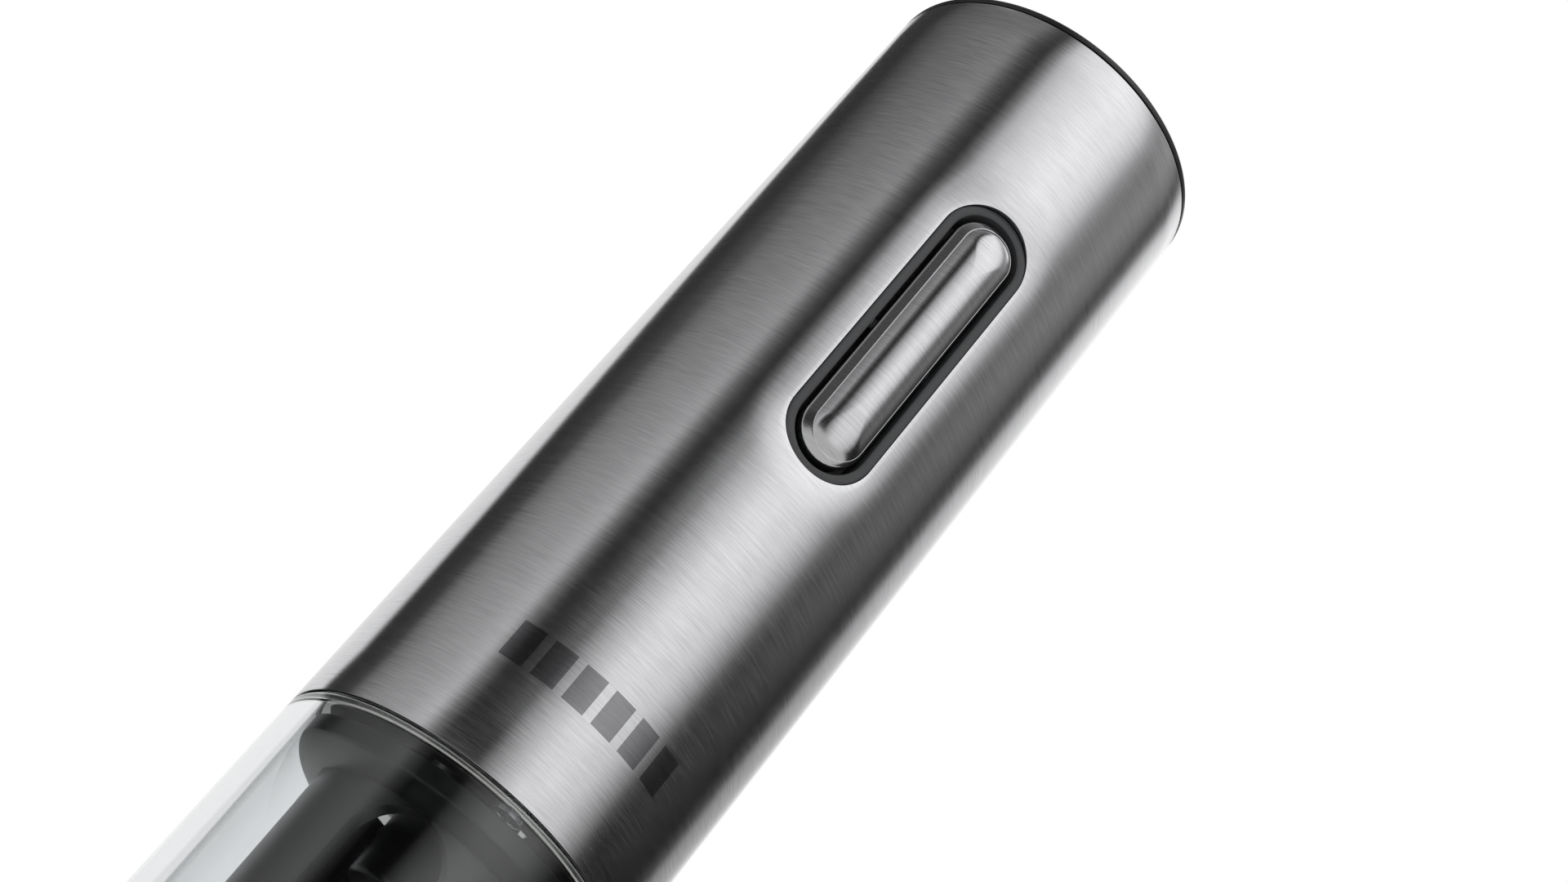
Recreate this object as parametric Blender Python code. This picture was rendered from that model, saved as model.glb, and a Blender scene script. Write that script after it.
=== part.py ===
"""Electric wine opener: a 50 mm tube with a foil cutter base, a clear cork chamber, a worm driven by a
motor through three planetary stages, a rocker switch and four AA cells under a twist-off cap.

Sizes are in millimetres and are turned to metres when a mesh is made. +Z is up, the button faces -Y, and
the origin is on the table, at the centre of the foil cutter's ring.
"""
import math

import bmesh
import bpy
from mathutils import Matrix, Vector

for leftover in list(bpy.data.objects):
    bpy.data.objects.remove(leftover, do_unlink=True)

MM = 0.001
GAP = 0.3               # clearance between pieces that touch or seat

# ---- driving dimensions ------------------------------------------------------------------------------
BODY_R = 25.0
SLEEVE_WALL = 0.6
FRAME_WALL = 1.8
CLEAR_WALL = 3.5

FOIL_RING_H = 30.0
CLEAR_LENGTH = 85.4
NECK_R = 15.0           # free radius that a bottle's lip passes

FOIL_WALL = 2.2
FOIL_FLOOR = 2.4
FOIL_WEB_Z = 18.0
FOIL_WEB_H = 2.0
SOCKET_WALL = 1.5
SPIGOT_LENGTH = 8.3

JAW_SIDE = 1.3          # how far the jaw's inner face stands back from the bottle's lip
JAW_HALF_ANGLE = 32.0
JAW_Z0 = 4.0
JAW_Z1 = 16.5
PAD_HALF_WIDTH = 10.0
PAD_MARGIN = 1.2
PAD_PROUD = 0.6
PAD_ROOT = 3.5          # how deep the pad's block starts inside the jaw's outer face
WINDOW_MARGIN = 1.0
WINDOW_END_GAP = 0.7    # room over and under the pad in its window
WHEEL_R = 3.5
WHEEL_BITE = 0.4        # how far a wheel's edge reaches inside the lip's free radius
WHEEL_THICK = 0.7
WHEEL_ANGLE = 20.0
WHEEL_Z = 10.4
WHEEL_AXLE_R = 0.8
WHEEL_AXLE_LENGTH = 8.4
WHEEL_BEVEL = 0.9
WHEEL_EDGE = 0.12       # thickness of a wheel's edge
WHEEL_SLOT_GAP = 0.45
SPRING_WIRE = 0.8
SPRING_INSET = 1.0      # the spring's outer edge, inside the jaws' outer face
SPRING_START = -240.0
SPRING_END = 60.0

CAGE_R_IN = 14.2
CAGE_WALL = 2.2
CAGE_COLLAR_WALL = 2.0
CAGE_COLLAR_H = 11.0
CAGE_MOUTH_DEPTH = 9.0
CAGE_LIP_H = 3.5
CAGE_LIP_R_IN = 12.6
CAGE_FLANGE_H = 2.7
CAGE_FLANGE_CONE = 1.5
CAGE_FLANGE_GAP = 0.5   # between the flange and the clear shell
CAGE_SHOULDER = 1.8     # height of the cone over the collar
CAGE_RISE = 1.0         # the cage's foot stands this high over the foil ring
CAGE_TOP_GAP = 1.7      # from the flange to the clear shell's upper face
CAGE_COLLAR_PROUD = 1.8
CAGE_WINDOWS = 4
CAGE_WINDOW_TURN = -113.0   # direction of the first window, in degrees
CAGE_WINDOW_ANGLE = 50.0
CAGE_WINDOW_Z_LOW = 2.5     # above the lip
CAGE_WINDOW_Z_HIGH = 4.4    # below the flange's upper face
CAGE_RIB_IN = 1.0
CAGE_RIB_WIDTH = 1.2

GUIDE_H = 8.0
GUIDE_HUB_R = 6.6
GUIDE_RIM_WALL = 2.2
GUIDE_RIM_GAP = 0.4
GUIDE_BORE_GAP = 0.45
GUIDE_HUB_LOW = 1.0     # the hub starts this far above the rim's lower face
GUIDE_HUB_HIGH = 0.5    # and ends this far below its upper one
SPOKE_MARGIN = 1.5
SPOKE_WIDTH = 2.4
WORM_HELIX_R = 3.2
WORM_WIRE_R = 1.25
WORM_PITCH = 9.0
WORM_TIP_BELOW = 1.3    # the worm's tip shows this far below its guide
WORM_DRAW_IN = 2.5      # the helix ends this far below the chuck
WORM_DRAW_TURN = 1.6    # angle of the draw-in, in radians
WORM_TURN_STEPS = 12
CHUCK_R = 6.5
CHUCK_H = 11.0
CHUCK_BORE_DEPTH = 8.4
CHUCK_CHAMFER = 0.8
CHUCK_LEAD = 1.2        # width of the cone at the bore's mouth
CHUCK_TOP_GAP = 1.2     # from the chuck to the front plate

MODULE = 0.7
SUN_TEETH = 12
PLANET_TEETH = 15
RING_TEETH = 42
PLANETS = 3
ADDENDUM = 0.75         # in modules, a stub tooth
DEDENDUM = 1.1
BACKLASH = 0.24
STAGE_H = 8.0
CARRIER_PLATE = 2.0
PLANET_FACE = 5.0
PLANET_PIN_R = 1.5
RING_WALL = 2.5
GEARBOX_FLANGE_H = 2.6
OUTPUT_SHAFT_R = 4.0
BUSH_WALL = 1.7
BUSH_PROUD = 0.6        # the bush shows this far below the front plate
PLATE_H = 4.2
PLATE_DROP = 0.5        # the plate's lower face, below the steel's lower edge
SCREW_R = 1.2
SCREW_HEAD_R = 1.9
SCREW_HEAD_H = 1.1
SCREW_POINT = 0.6
SCREW_RECESS = 0.5
PIN_ROOT = 0.5          # how deep a pin or a sun starts inside its carrier's plate
PIN_PROUD = 0.7         # a planet pin's end, above its planet

MOTOR_R = 13.9
MOTOR_WALL = 1.4
MOTOR_LENGTH = 38.0
MOTOR_SHAFT_R = 1.6
ARMATURE_R = 10.5
CORE_LOW_MARGIN = 8.0   # from the motor's lower face to the armature
CORE_HIGH_MARGIN = 9.0
COLLECTOR_LENGTH = 5.0
COLLECTOR_WALL = 2.0
CAN_FLOOR = 2.0
END_BELL_H = 3.7
BELL_WALL = 1.2
BELL_PLUG = 2.0         # how deep the end bell's plug goes into the can
BELL_INSET = 0.5
PINION_GAP = 2.6        # from the pinion's top to the gearbox's
LEAD_R = 0.6
LEAD_X = 5.0

CELL_R = 7.1
CELL_LENGTH = 50.5
CELL_NUB_R = 2.7
CELL_NUB_H = 1.1
CELL_PITCH = 15.4
DIVIDER = 0.6
CRADLE_FLOOR = 1.5
CONTACT_H = 0.5
CONTACT_HALF = 3.2
CONTACT_HOLE_R = 3.0
CARRIER_H = 2.7

CAP_PLATE_H = 3.0
RIM_H = 1.0
CAP_SKIRT_WALL = 1.2
CAP_SKIRT_H = 9.5
LUG_ANGLES = (60.0, 240.0)  # clear of the frame's split
LUG_HALF_ANGLE = 7.0
LUG_H = 2.0
CAP_TWIST = 30.0
CAP_DISH = 0.6
CAP_DISH_RIM = 3.0
GRIP_R_IN = 7.0
GRIP_R_OUT = 15.0
GRIP_HALF_ANGLE = 50.0
GRIP_DEPTH = 1.8
SLOT_MARGIN = 1.5       # free angle at each end of a bayonet slot
FRAME_RIB_H = 2.0
GEARBOX_RIB_RISE = 10.0

BEZEL_LENGTH = 48.6
BEZEL_WIDTH = 13.1
BEZEL_RING = 1.15
BEZEL_FACE_DEPTH = 1.05 # depth of the bezel's flat face below the tube's front line
BEZEL_DEPTH = 7.5
BEZEL_FLOOR = 0.9
ROCKER_END_GAP = 0.95   # room for the rocker's tilt at each end of the bezel's well
ROCKER_SIDE_GAP = 0.65
ROCKER_CAP_BACK = 2.4   # depth of the cap's flat back below the tube's front line
ROCKER_EDGE_DEPTH = 0.5 # depth of the cap's rim below that line
ROCKER_PROUD = 1.5      # how far the cap's ridge stands in front of that line
PIVOT_DEPTH = 4.8       # depth of the rocker's pin below the tube's surface
ROCKER_PIN_R = 1.0
PLUNGER_INSET = 9.2     # from the rocker's end to its plunger
PLUNGER_R = 1.1
BOARD_THICK = 0.75
BOARD_MARGIN = 4.15     # the switch board stops this far inside each end of the bezel
BOARD_WIDTH = 12.0
BOARD_BEHIND = 1.65     # from the bezel tub's back to the board
SWITCH_HALF = 2.6
LUG_HALF_WIDTH = 3.6
LUG_HALF_HEIGHT = 2.3
LUG_FRONT = 0.6         # the lug's reach before and behind the pin
LUG_BACK = 1.35
CARRIER_INSET = 0.3
BOSS_WALL = 1.0
SWITCH_RISE = 5.86      # height of the rocker's pin above the cradle's floor

ROUND = 48              # sides of the large turned pieces
MEDIUM = 32
SMALL = 12

# ---- sizes that follow ---------------------------------------------------------------------------------
SLEEVE_R_IN = BODY_R - SLEEVE_WALL
FRAME_R_OUT = SLEEVE_R_IN - GAP
FRAME_R_IN = FRAME_R_OUT - FRAME_WALL
CLEAR_R_IN = BODY_R - CLEAR_WALL
SOCKET_R_IN = BODY_R - SOCKET_WALL

CLEAR_Z0 = FOIL_RING_H + GAP
CLEAR_Z1 = CLEAR_Z0 + CLEAR_LENGTH
STEEL_Z0 = CLEAR_Z1 + GAP
CAGE_Z0 = FOIL_RING_H + CAGE_RISE
CAGE_LIP_Z = CAGE_Z0 + CAGE_MOUTH_DEPTH
CAGE_Z1 = CLEAR_Z1 - CAGE_TOP_GAP
GUIDE_Z0 = CAGE_LIP_Z + CAGE_LIP_H + GAP
PLATE_Z0 = STEEL_Z0 - PLATE_DROP
PLATE_Z1 = PLATE_Z0 + PLATE_H
GEARBOX_Z0 = PLATE_Z1 + GAP
STAGE_Z0 = GEARBOX_Z0 + 1.0
GEARBOX_Z1 = STAGE_Z0 + 3 * STAGE_H + 2.5
MOTOR_Z0 = GEARBOX_Z1 + 0.5
BELL_Z0 = MOTOR_Z0 + MOTOR_LENGTH + GAP
BELL_Z1 = BELL_Z0 + END_BELL_H
CRADLE_Z0 = BELL_Z1 + 2.5
CRADLE_Z1 = CRADLE_Z0 + CRADLE_FLOOR
CELL_Z0 = CRADLE_Z1 + CONTACT_H + 2 * GAP + 0.1
CELL_Z1 = CELL_Z0 + CELL_LENGTH
TOP_CONTACT_Z = CELL_Z1 + 0.4
CARRIER_Z0 = TOP_CONTACT_Z + CONTACT_H + GAP
CAP_Z0 = CARRIER_Z0 + CARRIER_H + 0.9
RIM_Z = CAP_Z0 + CAP_PLATE_H
TOP_Z = RIM_Z + RIM_H
STEEL_Z1 = RIM_Z - GAP
FRAME_Z0 = STEEL_Z0 + SPIGOT_LENGTH
FRAME_Z1 = CAP_Z0 - 3.5
LUG_Z0 = FRAME_Z1 - 3.5

SUN_R = MODULE * SUN_TEETH / 2
PLANET_R = MODULE * PLANET_TEETH / 2
RING_R = MODULE * RING_TEETH / 2
GEAR_CENTRES = SUN_R + PLANET_R
RING_ROOT = RING_R + DEDENDUM * MODULE
GEARBOX_R = RING_ROOT + RING_WALL
CARRIER_R = RING_R - ADDENDUM * MODULE - 0.9
ROCKER_Z = CRADLE_Z0 + SWITCH_RISE
ROCKER_LENGTH = BEZEL_LENGTH - 2 * (BEZEL_RING + ROCKER_END_GAP)
ROCKER_WIDTH = BEZEL_WIDTH - 2 * (BEZEL_RING + ROCKER_SIDE_GAP)
PLUNGER_REACH = ROCKER_LENGTH / 2 - PLUNGER_INSET
BOARD_LENGTH = BEZEL_LENGTH - 2 * BOARD_MARGIN
PIVOT_Y = -(BODY_R - PIVOT_DEPTH)
TUB_FLOOR_Y = -(BODY_R - BEZEL_DEPTH)


# ---- materials -----------------------------------------------------------------------------------------
def material(name, colour, roughness, metallic=0.0, alpha=1.0):
    made = bpy.data.materials.new(name)
    made.use_nodes = True
    shader = made.node_tree.nodes["Principled BSDF"]
    shader.inputs["Base Color"].default_value = (*colour, 1.0)
    shader.inputs["Roughness"].default_value = roughness
    shader.inputs["Metallic"].default_value = metallic
    shader.inputs["Alpha"].default_value = alpha
    made.diffuse_color = (*colour, alpha)
    return made


def steel(name):
    return material(name, (0.56, 0.56, 0.57), 0.32, 1.0)


def black_plastic(name):
    return material(name, (0.02, 0.02, 0.022), 0.45)


def white_plastic(name):
    return material(name, (0.75, 0.74, 0.70), 0.5)


def brass(name):
    return material(name, (0.72, 0.50, 0.22), 0.35, 1.0)


# ---- shapes --------------------------------------------------------------------------------------------
def finish(name, mesh_data, look, at):
    """Makes the closed mesh an object, facing out, in metres, with its origin at the given point."""
    bmesh.ops.recalc_face_normals(mesh_data, faces=mesh_data.faces)
    bmesh.ops.scale(mesh_data, vec=(MM, MM, MM), verts=mesh_data.verts)
    mesh = bpy.data.meshes.new(name)
    mesh_data.to_mesh(mesh)
    mesh_data.free()
    mesh.shade_smooth()
    mesh.set_sharp_from_angle(angle=math.radians(32))
    made = bpy.data.objects.new(name, mesh)
    made.location = Vector(at) * MM
    if look is not None:
        mesh.materials.append(look)
    bpy.context.scene.collection.objects.link(made)
    return made


def circle(radius, sides, centre=(0.0, 0.0), phase=0.0):
    step = 2 * math.pi / sides
    return [(centre[0] + radius * math.cos(phase + step * k), centre[1] + radius * math.sin(phase + step * k))
            for k in range(sides)]


def rectangle(x0, x1, y0, y1):
    return [(x0, y0), (x1, y0), (x1, y1), (x0, y1)]


def stadium(width, length, sides=12):
    """An upright outline with straight sides and round ends, centred on the origin."""
    radius = width / 2
    straight = length / 2 - radius
    right_to_left = [math.pi * k / sides for k in range(sides + 1)]
    top = [(radius * math.cos(a), straight + radius * math.sin(a)) for a in right_to_left]
    return top + [(-x, -y) for x, y in top]


def sector(r_in, r_out, start, end, sides):
    """A ring's stretch between two angles in degrees."""
    angles = [math.radians(start + (end - start) * k / sides) for k in range(sides + 1)]
    outer = [(r_out * math.cos(a), r_out * math.sin(a)) for a in angles]
    inner = [(r_in * math.cos(a), r_in * math.sin(a)) for a in reversed(angles)]
    return outer + inner


def gear_outline(teeth, internal=False, phase=0.0):
    """Straight-sided stub teeth; an internal gear's outline is the edge of its hole."""
    pitch_r = teeth * MODULE / 2
    side = -1 if internal else 1
    tip_r = pitch_r + side * ADDENDUM * MODULE
    root_r = pitch_r - side * DEDENDUM * MODULE
    half = math.pi * MODULE / 4 - BACKLASH / 2
    slope = math.tan(math.radians(20))
    tip = (half - ADDENDUM * MODULE * slope) / tip_r
    root = (half + DEDENDUM * MODULE * slope) / root_r
    outline = []
    for k in range(teeth):
        middle = phase + 2 * math.pi * k / teeth
        for radius, angle in ((root_r, -root), (tip_r, -tip), (tip_r, tip), (root_r, root)):
            outline.append((radius * math.cos(middle + angle), radius * math.sin(middle + angle)))
    return outline


def prism(name, outer, low, high, look=None, holes=(), along="Z", at=(0.0, 0.0, 0.0)):
    """An outline with holes, extruded between two levels along an axis."""
    order = {"Z": lambda u, v, w: (u, v, w), "Y": lambda u, v, w: (u, w, v), "X": lambda u, v, w: (w, u, v)}
    place = order[along]
    shape = bmesh.new()
    rims = ([], [])
    for loop in (outer, *holes):
        rings = []
        for rim, level in zip(rims, (low, high)):
            ring = [shape.verts.new(place(u, v, level)) for u, v in loop]
            rim.extend(shape.edges.new((a, b)) for a, b in zip(ring, ring[1:] + ring[:1]))
            rings.append(ring)
        bottom, top = rings
        for k in range(len(loop)):
            following = (k + 1) % len(loop)
            shape.faces.new((bottom[k], bottom[following], top[following], top[k]))
    for rim in rims:
        bmesh.ops.triangle_fill(shape, use_beauty=True, edges=rim)
    return finish(name, shape, look, at)


def turned(name, outline, look=None, sides=ROUND, at=(0.0, 0.0, 0.0), along="Z"):
    """A closed (radius, height) outline turned about an axis; a flat end on the axis is one face."""
    shape = bmesh.new()
    rings = []
    for radius, height in outline:
        turns = [2 * math.pi * k / sides for k in range(sides)]
        ring = [shape.verts.new((radius * math.cos(a), radius * math.sin(a), height)) for a in turns]
        rings.append(ring if radius > 0 else None)
        if radius == 0:
            bmesh.ops.delete(shape, geom=ring, context="VERTS")
    for ring, following in zip(rings, rings[1:] + rings[:1]):
        if ring and following:
            for k in range(sides):
                n = (k + 1) % sides
                shape.faces.new((ring[k], ring[n], following[n], following[k]))
        elif ring or following:
            shape.faces.new(ring or following)
    if along == "X":
        bmesh.ops.rotate(shape, matrix=Matrix.Rotation(math.pi / 2, 3, "Y"), verts=shape.verts)
    return finish(name, shape, look, at)


def rod(radius, low, high):
    return [(0, low), (radius, low), (radius, high), (0, high)]


def tube(r_in, r_out, low, high):
    return [(r_in, low), (r_out, low), (r_out, high), (r_in, high)]


def combine(target, tool, operation):
    """Cuts or joins with a hidden tool."""
    tool.name = f"{target.name}_{operation.lower()}_tool"
    tool.hide_render = True
    tool.display_type = "WIRE"
    modifier = target.modifiers.new(operation.lower(), "BOOLEAN")
    modifier.operation = operation
    modifier.solver = "EXACT"
    modifier.object = tool


def cut(target, tool):
    combine(target, tool, "DIFFERENCE")


def join(target, tool):
    combine(target, tool, "UNION")


def pivot(name, at):
    """An empty on a joint's axis, which carries the pieces that turn about it."""
    empty = bpy.data.objects.new(name, None)
    empty.location = Vector(at) * MM
    bpy.context.scene.collection.objects.link(empty)
    return empty


def carry(empty, *pieces):
    for piece in pieces:
        piece.parent = empty
        piece.location = piece.location - empty.location


# ---- foil cutter base ----------------------------------------------------------------------------------
FOIL_R_IN = BODY_R - FOIL_WALL
JAW_R_OUT = FOIL_R_IN - 0.5
JAW_R_IN = NECK_R + JAW_SIDE
WHEEL_CENTRE_R = NECK_R - WHEEL_BITE + WHEEL_R
PAD_Z0 = JAW_Z0 + PAD_MARGIN
PAD_Z1 = JAW_Z1 - PAD_MARGIN


def foil_ring():
    web_top = FOIL_WEB_Z + FOIL_WEB_H
    outline = [(NECK_R, 0), (BODY_R, 0), (BODY_R, FOIL_RING_H), (SOCKET_R_IN, FOIL_RING_H),
               (SOCKET_R_IN, web_top), (NECK_R, web_top), (NECK_R, FOIL_WEB_Z), (FOIL_R_IN, FOIL_WEB_Z),
               (FOIL_R_IN, FOIL_FLOOR), (NECK_R, FOIL_FLOOR)]
    ring = turned("foil_ring", outline, black_plastic("foil_ring_plastic"))
    half = PAD_HALF_WIDTH + WINDOW_MARGIN
    low = PAD_Z0 - WINDOW_END_GAP
    high = PAD_Z1 + WINDOW_END_GAP
    for side in (-1, 1):
        near = side * (FOIL_R_IN - 4)
        far = side * (BODY_R + 2)
        window = rectangle(min(near, far), max(near, far), -half, half)
        cut(ring, prism("window", window, low, high))
    return ring


def wheel_places(side):
    middle = 0 if side > 0 else 180
    for angle in (-WHEEL_ANGLE, WHEEL_ANGLE):
        turn = math.radians(middle + angle)
        yield (WHEEL_CENTRE_R * math.cos(turn), WHEEL_CENTRE_R * math.sin(turn))


def jaw(name, side):
    middle = 0 if side > 0 else 180
    block = sector(JAW_R_IN, JAW_R_OUT, middle - JAW_HALF_ANGLE, middle + JAW_HALF_ANGLE, 10)
    made = prism(name, block, JAW_Z0, JAW_Z1, black_plastic(name + "_plastic"))
    near = side * (JAW_R_OUT - PAD_ROOT)
    far = side * (BODY_R + PAD_PROUD)
    pad = rectangle(min(near, far), max(near, far), -PAD_HALF_WIDTH, PAD_HALF_WIDTH)
    join(made, prism("pad", pad, PAD_Z0, PAD_Z1))
    slot_half = WHEEL_THICK / 2 + WHEEL_SLOT_GAP
    for x, y in wheel_places(side):
        slot = rod(WHEEL_R + GAP, WHEEL_Z - slot_half, WHEEL_Z + slot_half)
        cut(made, turned("slot", slot, sides=16, at=(x, y, 0)))
        reach = WHEEL_AXLE_LENGTH / 2 + GAP
        hole = rod(WHEEL_AXLE_R + GAP, WHEEL_Z - reach, WHEEL_Z + reach)
        cut(made, turned("axle_hole", hole, sides=10, at=(x, y, 0)))
    return made


def wheel(name, x, y):
    """A cutting disc with a bevelled edge, pressed on the axle that turns with it."""
    half = WHEEL_THICK / 2
    end = WHEEL_AXLE_LENGTH / 2
    land = WHEEL_R - WHEEL_BEVEL
    edge = WHEEL_EDGE / 2
    outline = [(0, -end), (WHEEL_AXLE_R, -end), (WHEEL_AXLE_R, -half), (land, -half), (WHEEL_R, -edge),
               (WHEEL_R, edge), (land, half), (WHEEL_AXLE_R, half), (WHEEL_AXLE_R, end), (0, end)]
    return turned(name, outline, steel(name + "_steel"), sides=14, at=(x, y, WHEEL_Z))


def jaw_spring():
    """A C-shaped spring that lies on both jaws, open at the back."""
    outer = JAW_R_OUT - SPRING_INSET
    bow = sector(outer - SPRING_WIRE, outer, SPRING_START, SPRING_END, 30)
    low = JAW_Z1 + GAP
    return prism("jaw_spring", bow, low, low + SPRING_WIRE, steel("jaw_spring_steel"))


# ---- clear section -------------------------------------------------------------------------------------
def clear_shell():
    spigot_low = SOCKET_R_IN - GAP
    outline = [(CLEAR_R_IN, CLEAR_Z0 - SPIGOT_LENGTH), (spigot_low, CLEAR_Z0 - SPIGOT_LENGTH),
               (spigot_low, CLEAR_Z0), (BODY_R, CLEAR_Z0), (BODY_R, CLEAR_Z1), (FRAME_R_OUT, CLEAR_Z1),
               (FRAME_R_OUT, CLEAR_Z1 + SPIGOT_LENGTH), (CLEAR_R_IN, CLEAR_Z1 + SPIGOT_LENGTH)]
    return turned("clear_shell", outline, material("clear_plastic", (0.9, 0.92, 0.93), 0.05, alpha=0.35))


def arch(half_width, low, high, sides=10):
    """A window's outline with a round top."""
    turns = [math.pi * k / sides for k in range(sides + 1)]
    centre = high - half_width
    top = [(half_width * math.cos(turn), centre + half_width * math.sin(turn)) for turn in turns]
    return [(-half_width, low), (half_width, low)] + top


def window_turns():
    return [math.radians(CAGE_WINDOW_TURN + 360 * k / CAGE_WINDOWS) for k in range(CAGE_WINDOWS)]


def rib_turns():
    return [turn + math.pi / CAGE_WINDOWS for turn in window_turns()]


def cork_guide():
    """The cage that centres the bottle's neck and lets the cork be seen through its windows."""
    r_out = CAGE_R_IN + CAGE_WALL
    collar = r_out + CAGE_COLLAR_PROUD
    mouth = CAGE_R_IN + CAGE_COLLAR_WALL
    collar_top = CAGE_Z0 + CAGE_COLLAR_H
    lip_top = CAGE_LIP_Z + CAGE_LIP_H
    flange = CLEAR_R_IN - CAGE_FLANGE_GAP
    flange_z = CAGE_Z1 - CAGE_FLANGE_H
    outline = [(mouth, CAGE_Z0), (collar, CAGE_Z0), (collar, collar_top), (r_out, collar_top + CAGE_SHOULDER),
               (r_out, flange_z - CAGE_FLANGE_CONE), (flange, flange_z), (flange, CAGE_Z1),
               (CAGE_R_IN, CAGE_Z1), (CAGE_R_IN, lip_top), (CAGE_LIP_R_IN, lip_top),
               (CAGE_LIP_R_IN, CAGE_LIP_Z), (mouth, CAGE_LIP_Z)]
    cage = turned("cork_guide", outline, black_plastic("cork_guide_plastic"), sides=48)
    half_width = CAGE_R_IN * math.sin(math.radians(CAGE_WINDOW_ANGLE / 2))
    window = arch(half_width, lip_top + CAGE_WINDOW_Z_LOW, CAGE_Z1 - CAGE_WINDOW_Z_HIGH)
    for turn in window_turns():
        opening = prism("opening", window, 6, collar + 4, along="Y")
        opening.rotation_euler = (0, 0, turn - math.pi / 2)
        cut(cage, opening)
    for turn in rib_turns():
        rib = rectangle(CAGE_R_IN - CAGE_RIB_IN, CAGE_R_IN + 1, -CAGE_RIB_WIDTH / 2, CAGE_RIB_WIDTH / 2)
        strip = prism("rib", rib, lip_top - 1, CAGE_Z1 - 1)
        strip.rotation_euler = (0, 0, turn)
        join(cage, strip)
    return cage


def worm_guide():
    """The sliding spider that keeps the worm central and rides up on the cork."""
    rim = CAGE_R_IN - GUIDE_RIM_GAP
    outline = [(rim - GUIDE_RIM_WALL, 0), (rim, 0), (rim, GUIDE_H), (rim - GUIDE_RIM_WALL, GUIDE_H)]
    guide = turned("worm_guide", outline, black_plastic("worm_guide_plastic"), sides=MEDIUM,
                   at=(0, 0, GUIDE_Z0))
    bore = WORM_HELIX_R + WORM_WIRE_R + GUIDE_BORE_GAP
    hub = tube(bore, GUIDE_HUB_R, GUIDE_HUB_LOW, GUIDE_H - GUIDE_HUB_HIGH)
    join(guide, turned("hub", hub, sides=24, at=(0, 0, GUIDE_Z0)))
    for turn in window_turns():
        arm = rectangle(GUIDE_HUB_R - 0.6, rim - 1, -SPOKE_WIDTH / 2, SPOKE_WIDTH / 2)
        spoke = prism("spoke", arm, SPOKE_MARGIN, GUIDE_H - SPOKE_MARGIN, at=(0, 0, GUIDE_Z0))
        spoke.rotation_euler = (0, 0, turn)
        join(guide, spoke)
    for turn in rib_turns():
        reach = CAGE_R_IN - CAGE_RIB_IN - GAP
        slot = rectangle(reach, rim + 2, -CAGE_RIB_WIDTH / 2 - GAP, CAGE_RIB_WIDTH / 2 + GAP)
        notch = prism("notch", slot, -2, GUIDE_H + 2, at=(0, 0, GUIDE_Z0))
        notch.rotation_euler = (0, 0, turn)
        cut(guide, notch)
    return guide


CHUCK_Z1 = PLATE_Z0 - CHUCK_TOP_GAP
CHUCK_Z0 = CHUCK_Z1 - CHUCK_H
WORM_TIP_Z = GUIDE_Z0 - WORM_TIP_BELOW


def worm():
    """A right-hand open helix that draws in to its axis at the top and runs up as a straight shank."""
    turn_top = CHUCK_Z0 - WORM_DRAW_IN
    shank_z = CHUCK_Z0 - 0.2
    turns = (turn_top - WORM_TIP_Z) / WORM_PITCH
    steps = math.ceil(turns * WORM_TURN_STEPS)
    points = []
    for k in range(steps + 1):
        share = k / steps
        angle = 2 * math.pi * turns * share
        thick = min(1.0, 0.25 + 4 * share)
        height = WORM_TIP_Z + (turn_top - WORM_TIP_Z) * share
        points.append((WORM_HELIX_R * math.cos(angle), WORM_HELIX_R * math.sin(angle), height, thick))
    last = 2 * math.pi * turns
    draw_in = 5
    for k in range(1, draw_in + 1):
        share = k / draw_in
        angle = last + WORM_DRAW_TURN * share
        radius = WORM_HELIX_R * (1 - share) ** 1.2
        height = turn_top + (shank_z - turn_top) * share
        points.append((radius * math.cos(angle), radius * math.sin(angle), height, 1.0))
    points.append((0, 0, CHUCK_Z0 + 4, 1.0))
    points.append((0, 0, CHUCK_Z0 + 8, 1.0))
    data = bpy.data.curves.new("worm", "CURVE")
    data.dimensions = "3D"
    data.bevel_depth = WORM_WIRE_R * MM
    data.bevel_resolution = 2
    data.use_fill_caps = True
    spline = data.splines.new("POLY")
    spline.points.add(len(points) - 1)
    for point, (x, y, z, thick) in zip(spline.points, points):
        point.co = (x * MM, y * MM, z * MM, 1.0)
        point.radius = thick
    data.materials.append(steel("worm_steel"))
    made = bpy.data.objects.new("worm", data)
    bpy.context.scene.collection.objects.link(made)
    return made


def worm_chuck():
    bore = WORM_WIRE_R + GAP
    bore_end = CHUCK_Z0 + CHUCK_BORE_DEPTH
    edge_z = CHUCK_Z0 + CHUCK_CHAMFER
    outline = [(bore, edge_z), (bore + CHUCK_LEAD, CHUCK_Z0), (CHUCK_R - CHUCK_CHAMFER, CHUCK_Z0),
               (CHUCK_R, edge_z), (CHUCK_R, CHUCK_Z1), (0, CHUCK_Z1), (0, bore_end), (bore, bore_end)]
    return turned("worm_chuck", outline, black_plastic("worm_chuck_plastic"), sides=24)


# ---- gearbox -------------------------------------------------------------------------------------------
SCREW_PLACE_R = (GEARBOX_R + CLEAR_R_IN - GAP) / 2


def screw_places():
    for k in range(3):
        turn = math.radians(30 + 120 * k)
        yield (SCREW_PLACE_R * math.cos(turn), SCREW_PLACE_R * math.sin(turn))


def front_plate():
    bush_hole = OUTPUT_SHAFT_R + GAP + BUSH_WALL + GAP
    holes = [circle(bush_hole, 24)]
    holes += [circle(SCREW_R + GAP, SMALL, place) for place in screw_places()]
    outer = circle(CLEAR_R_IN - GAP, ROUND)
    return prism("front_plate", outer, PLATE_Z0, PLATE_Z1, material("plate_zinc", (0.45, 0.45, 0.46), 0.5, 1.0),
                 holes=holes)


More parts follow.
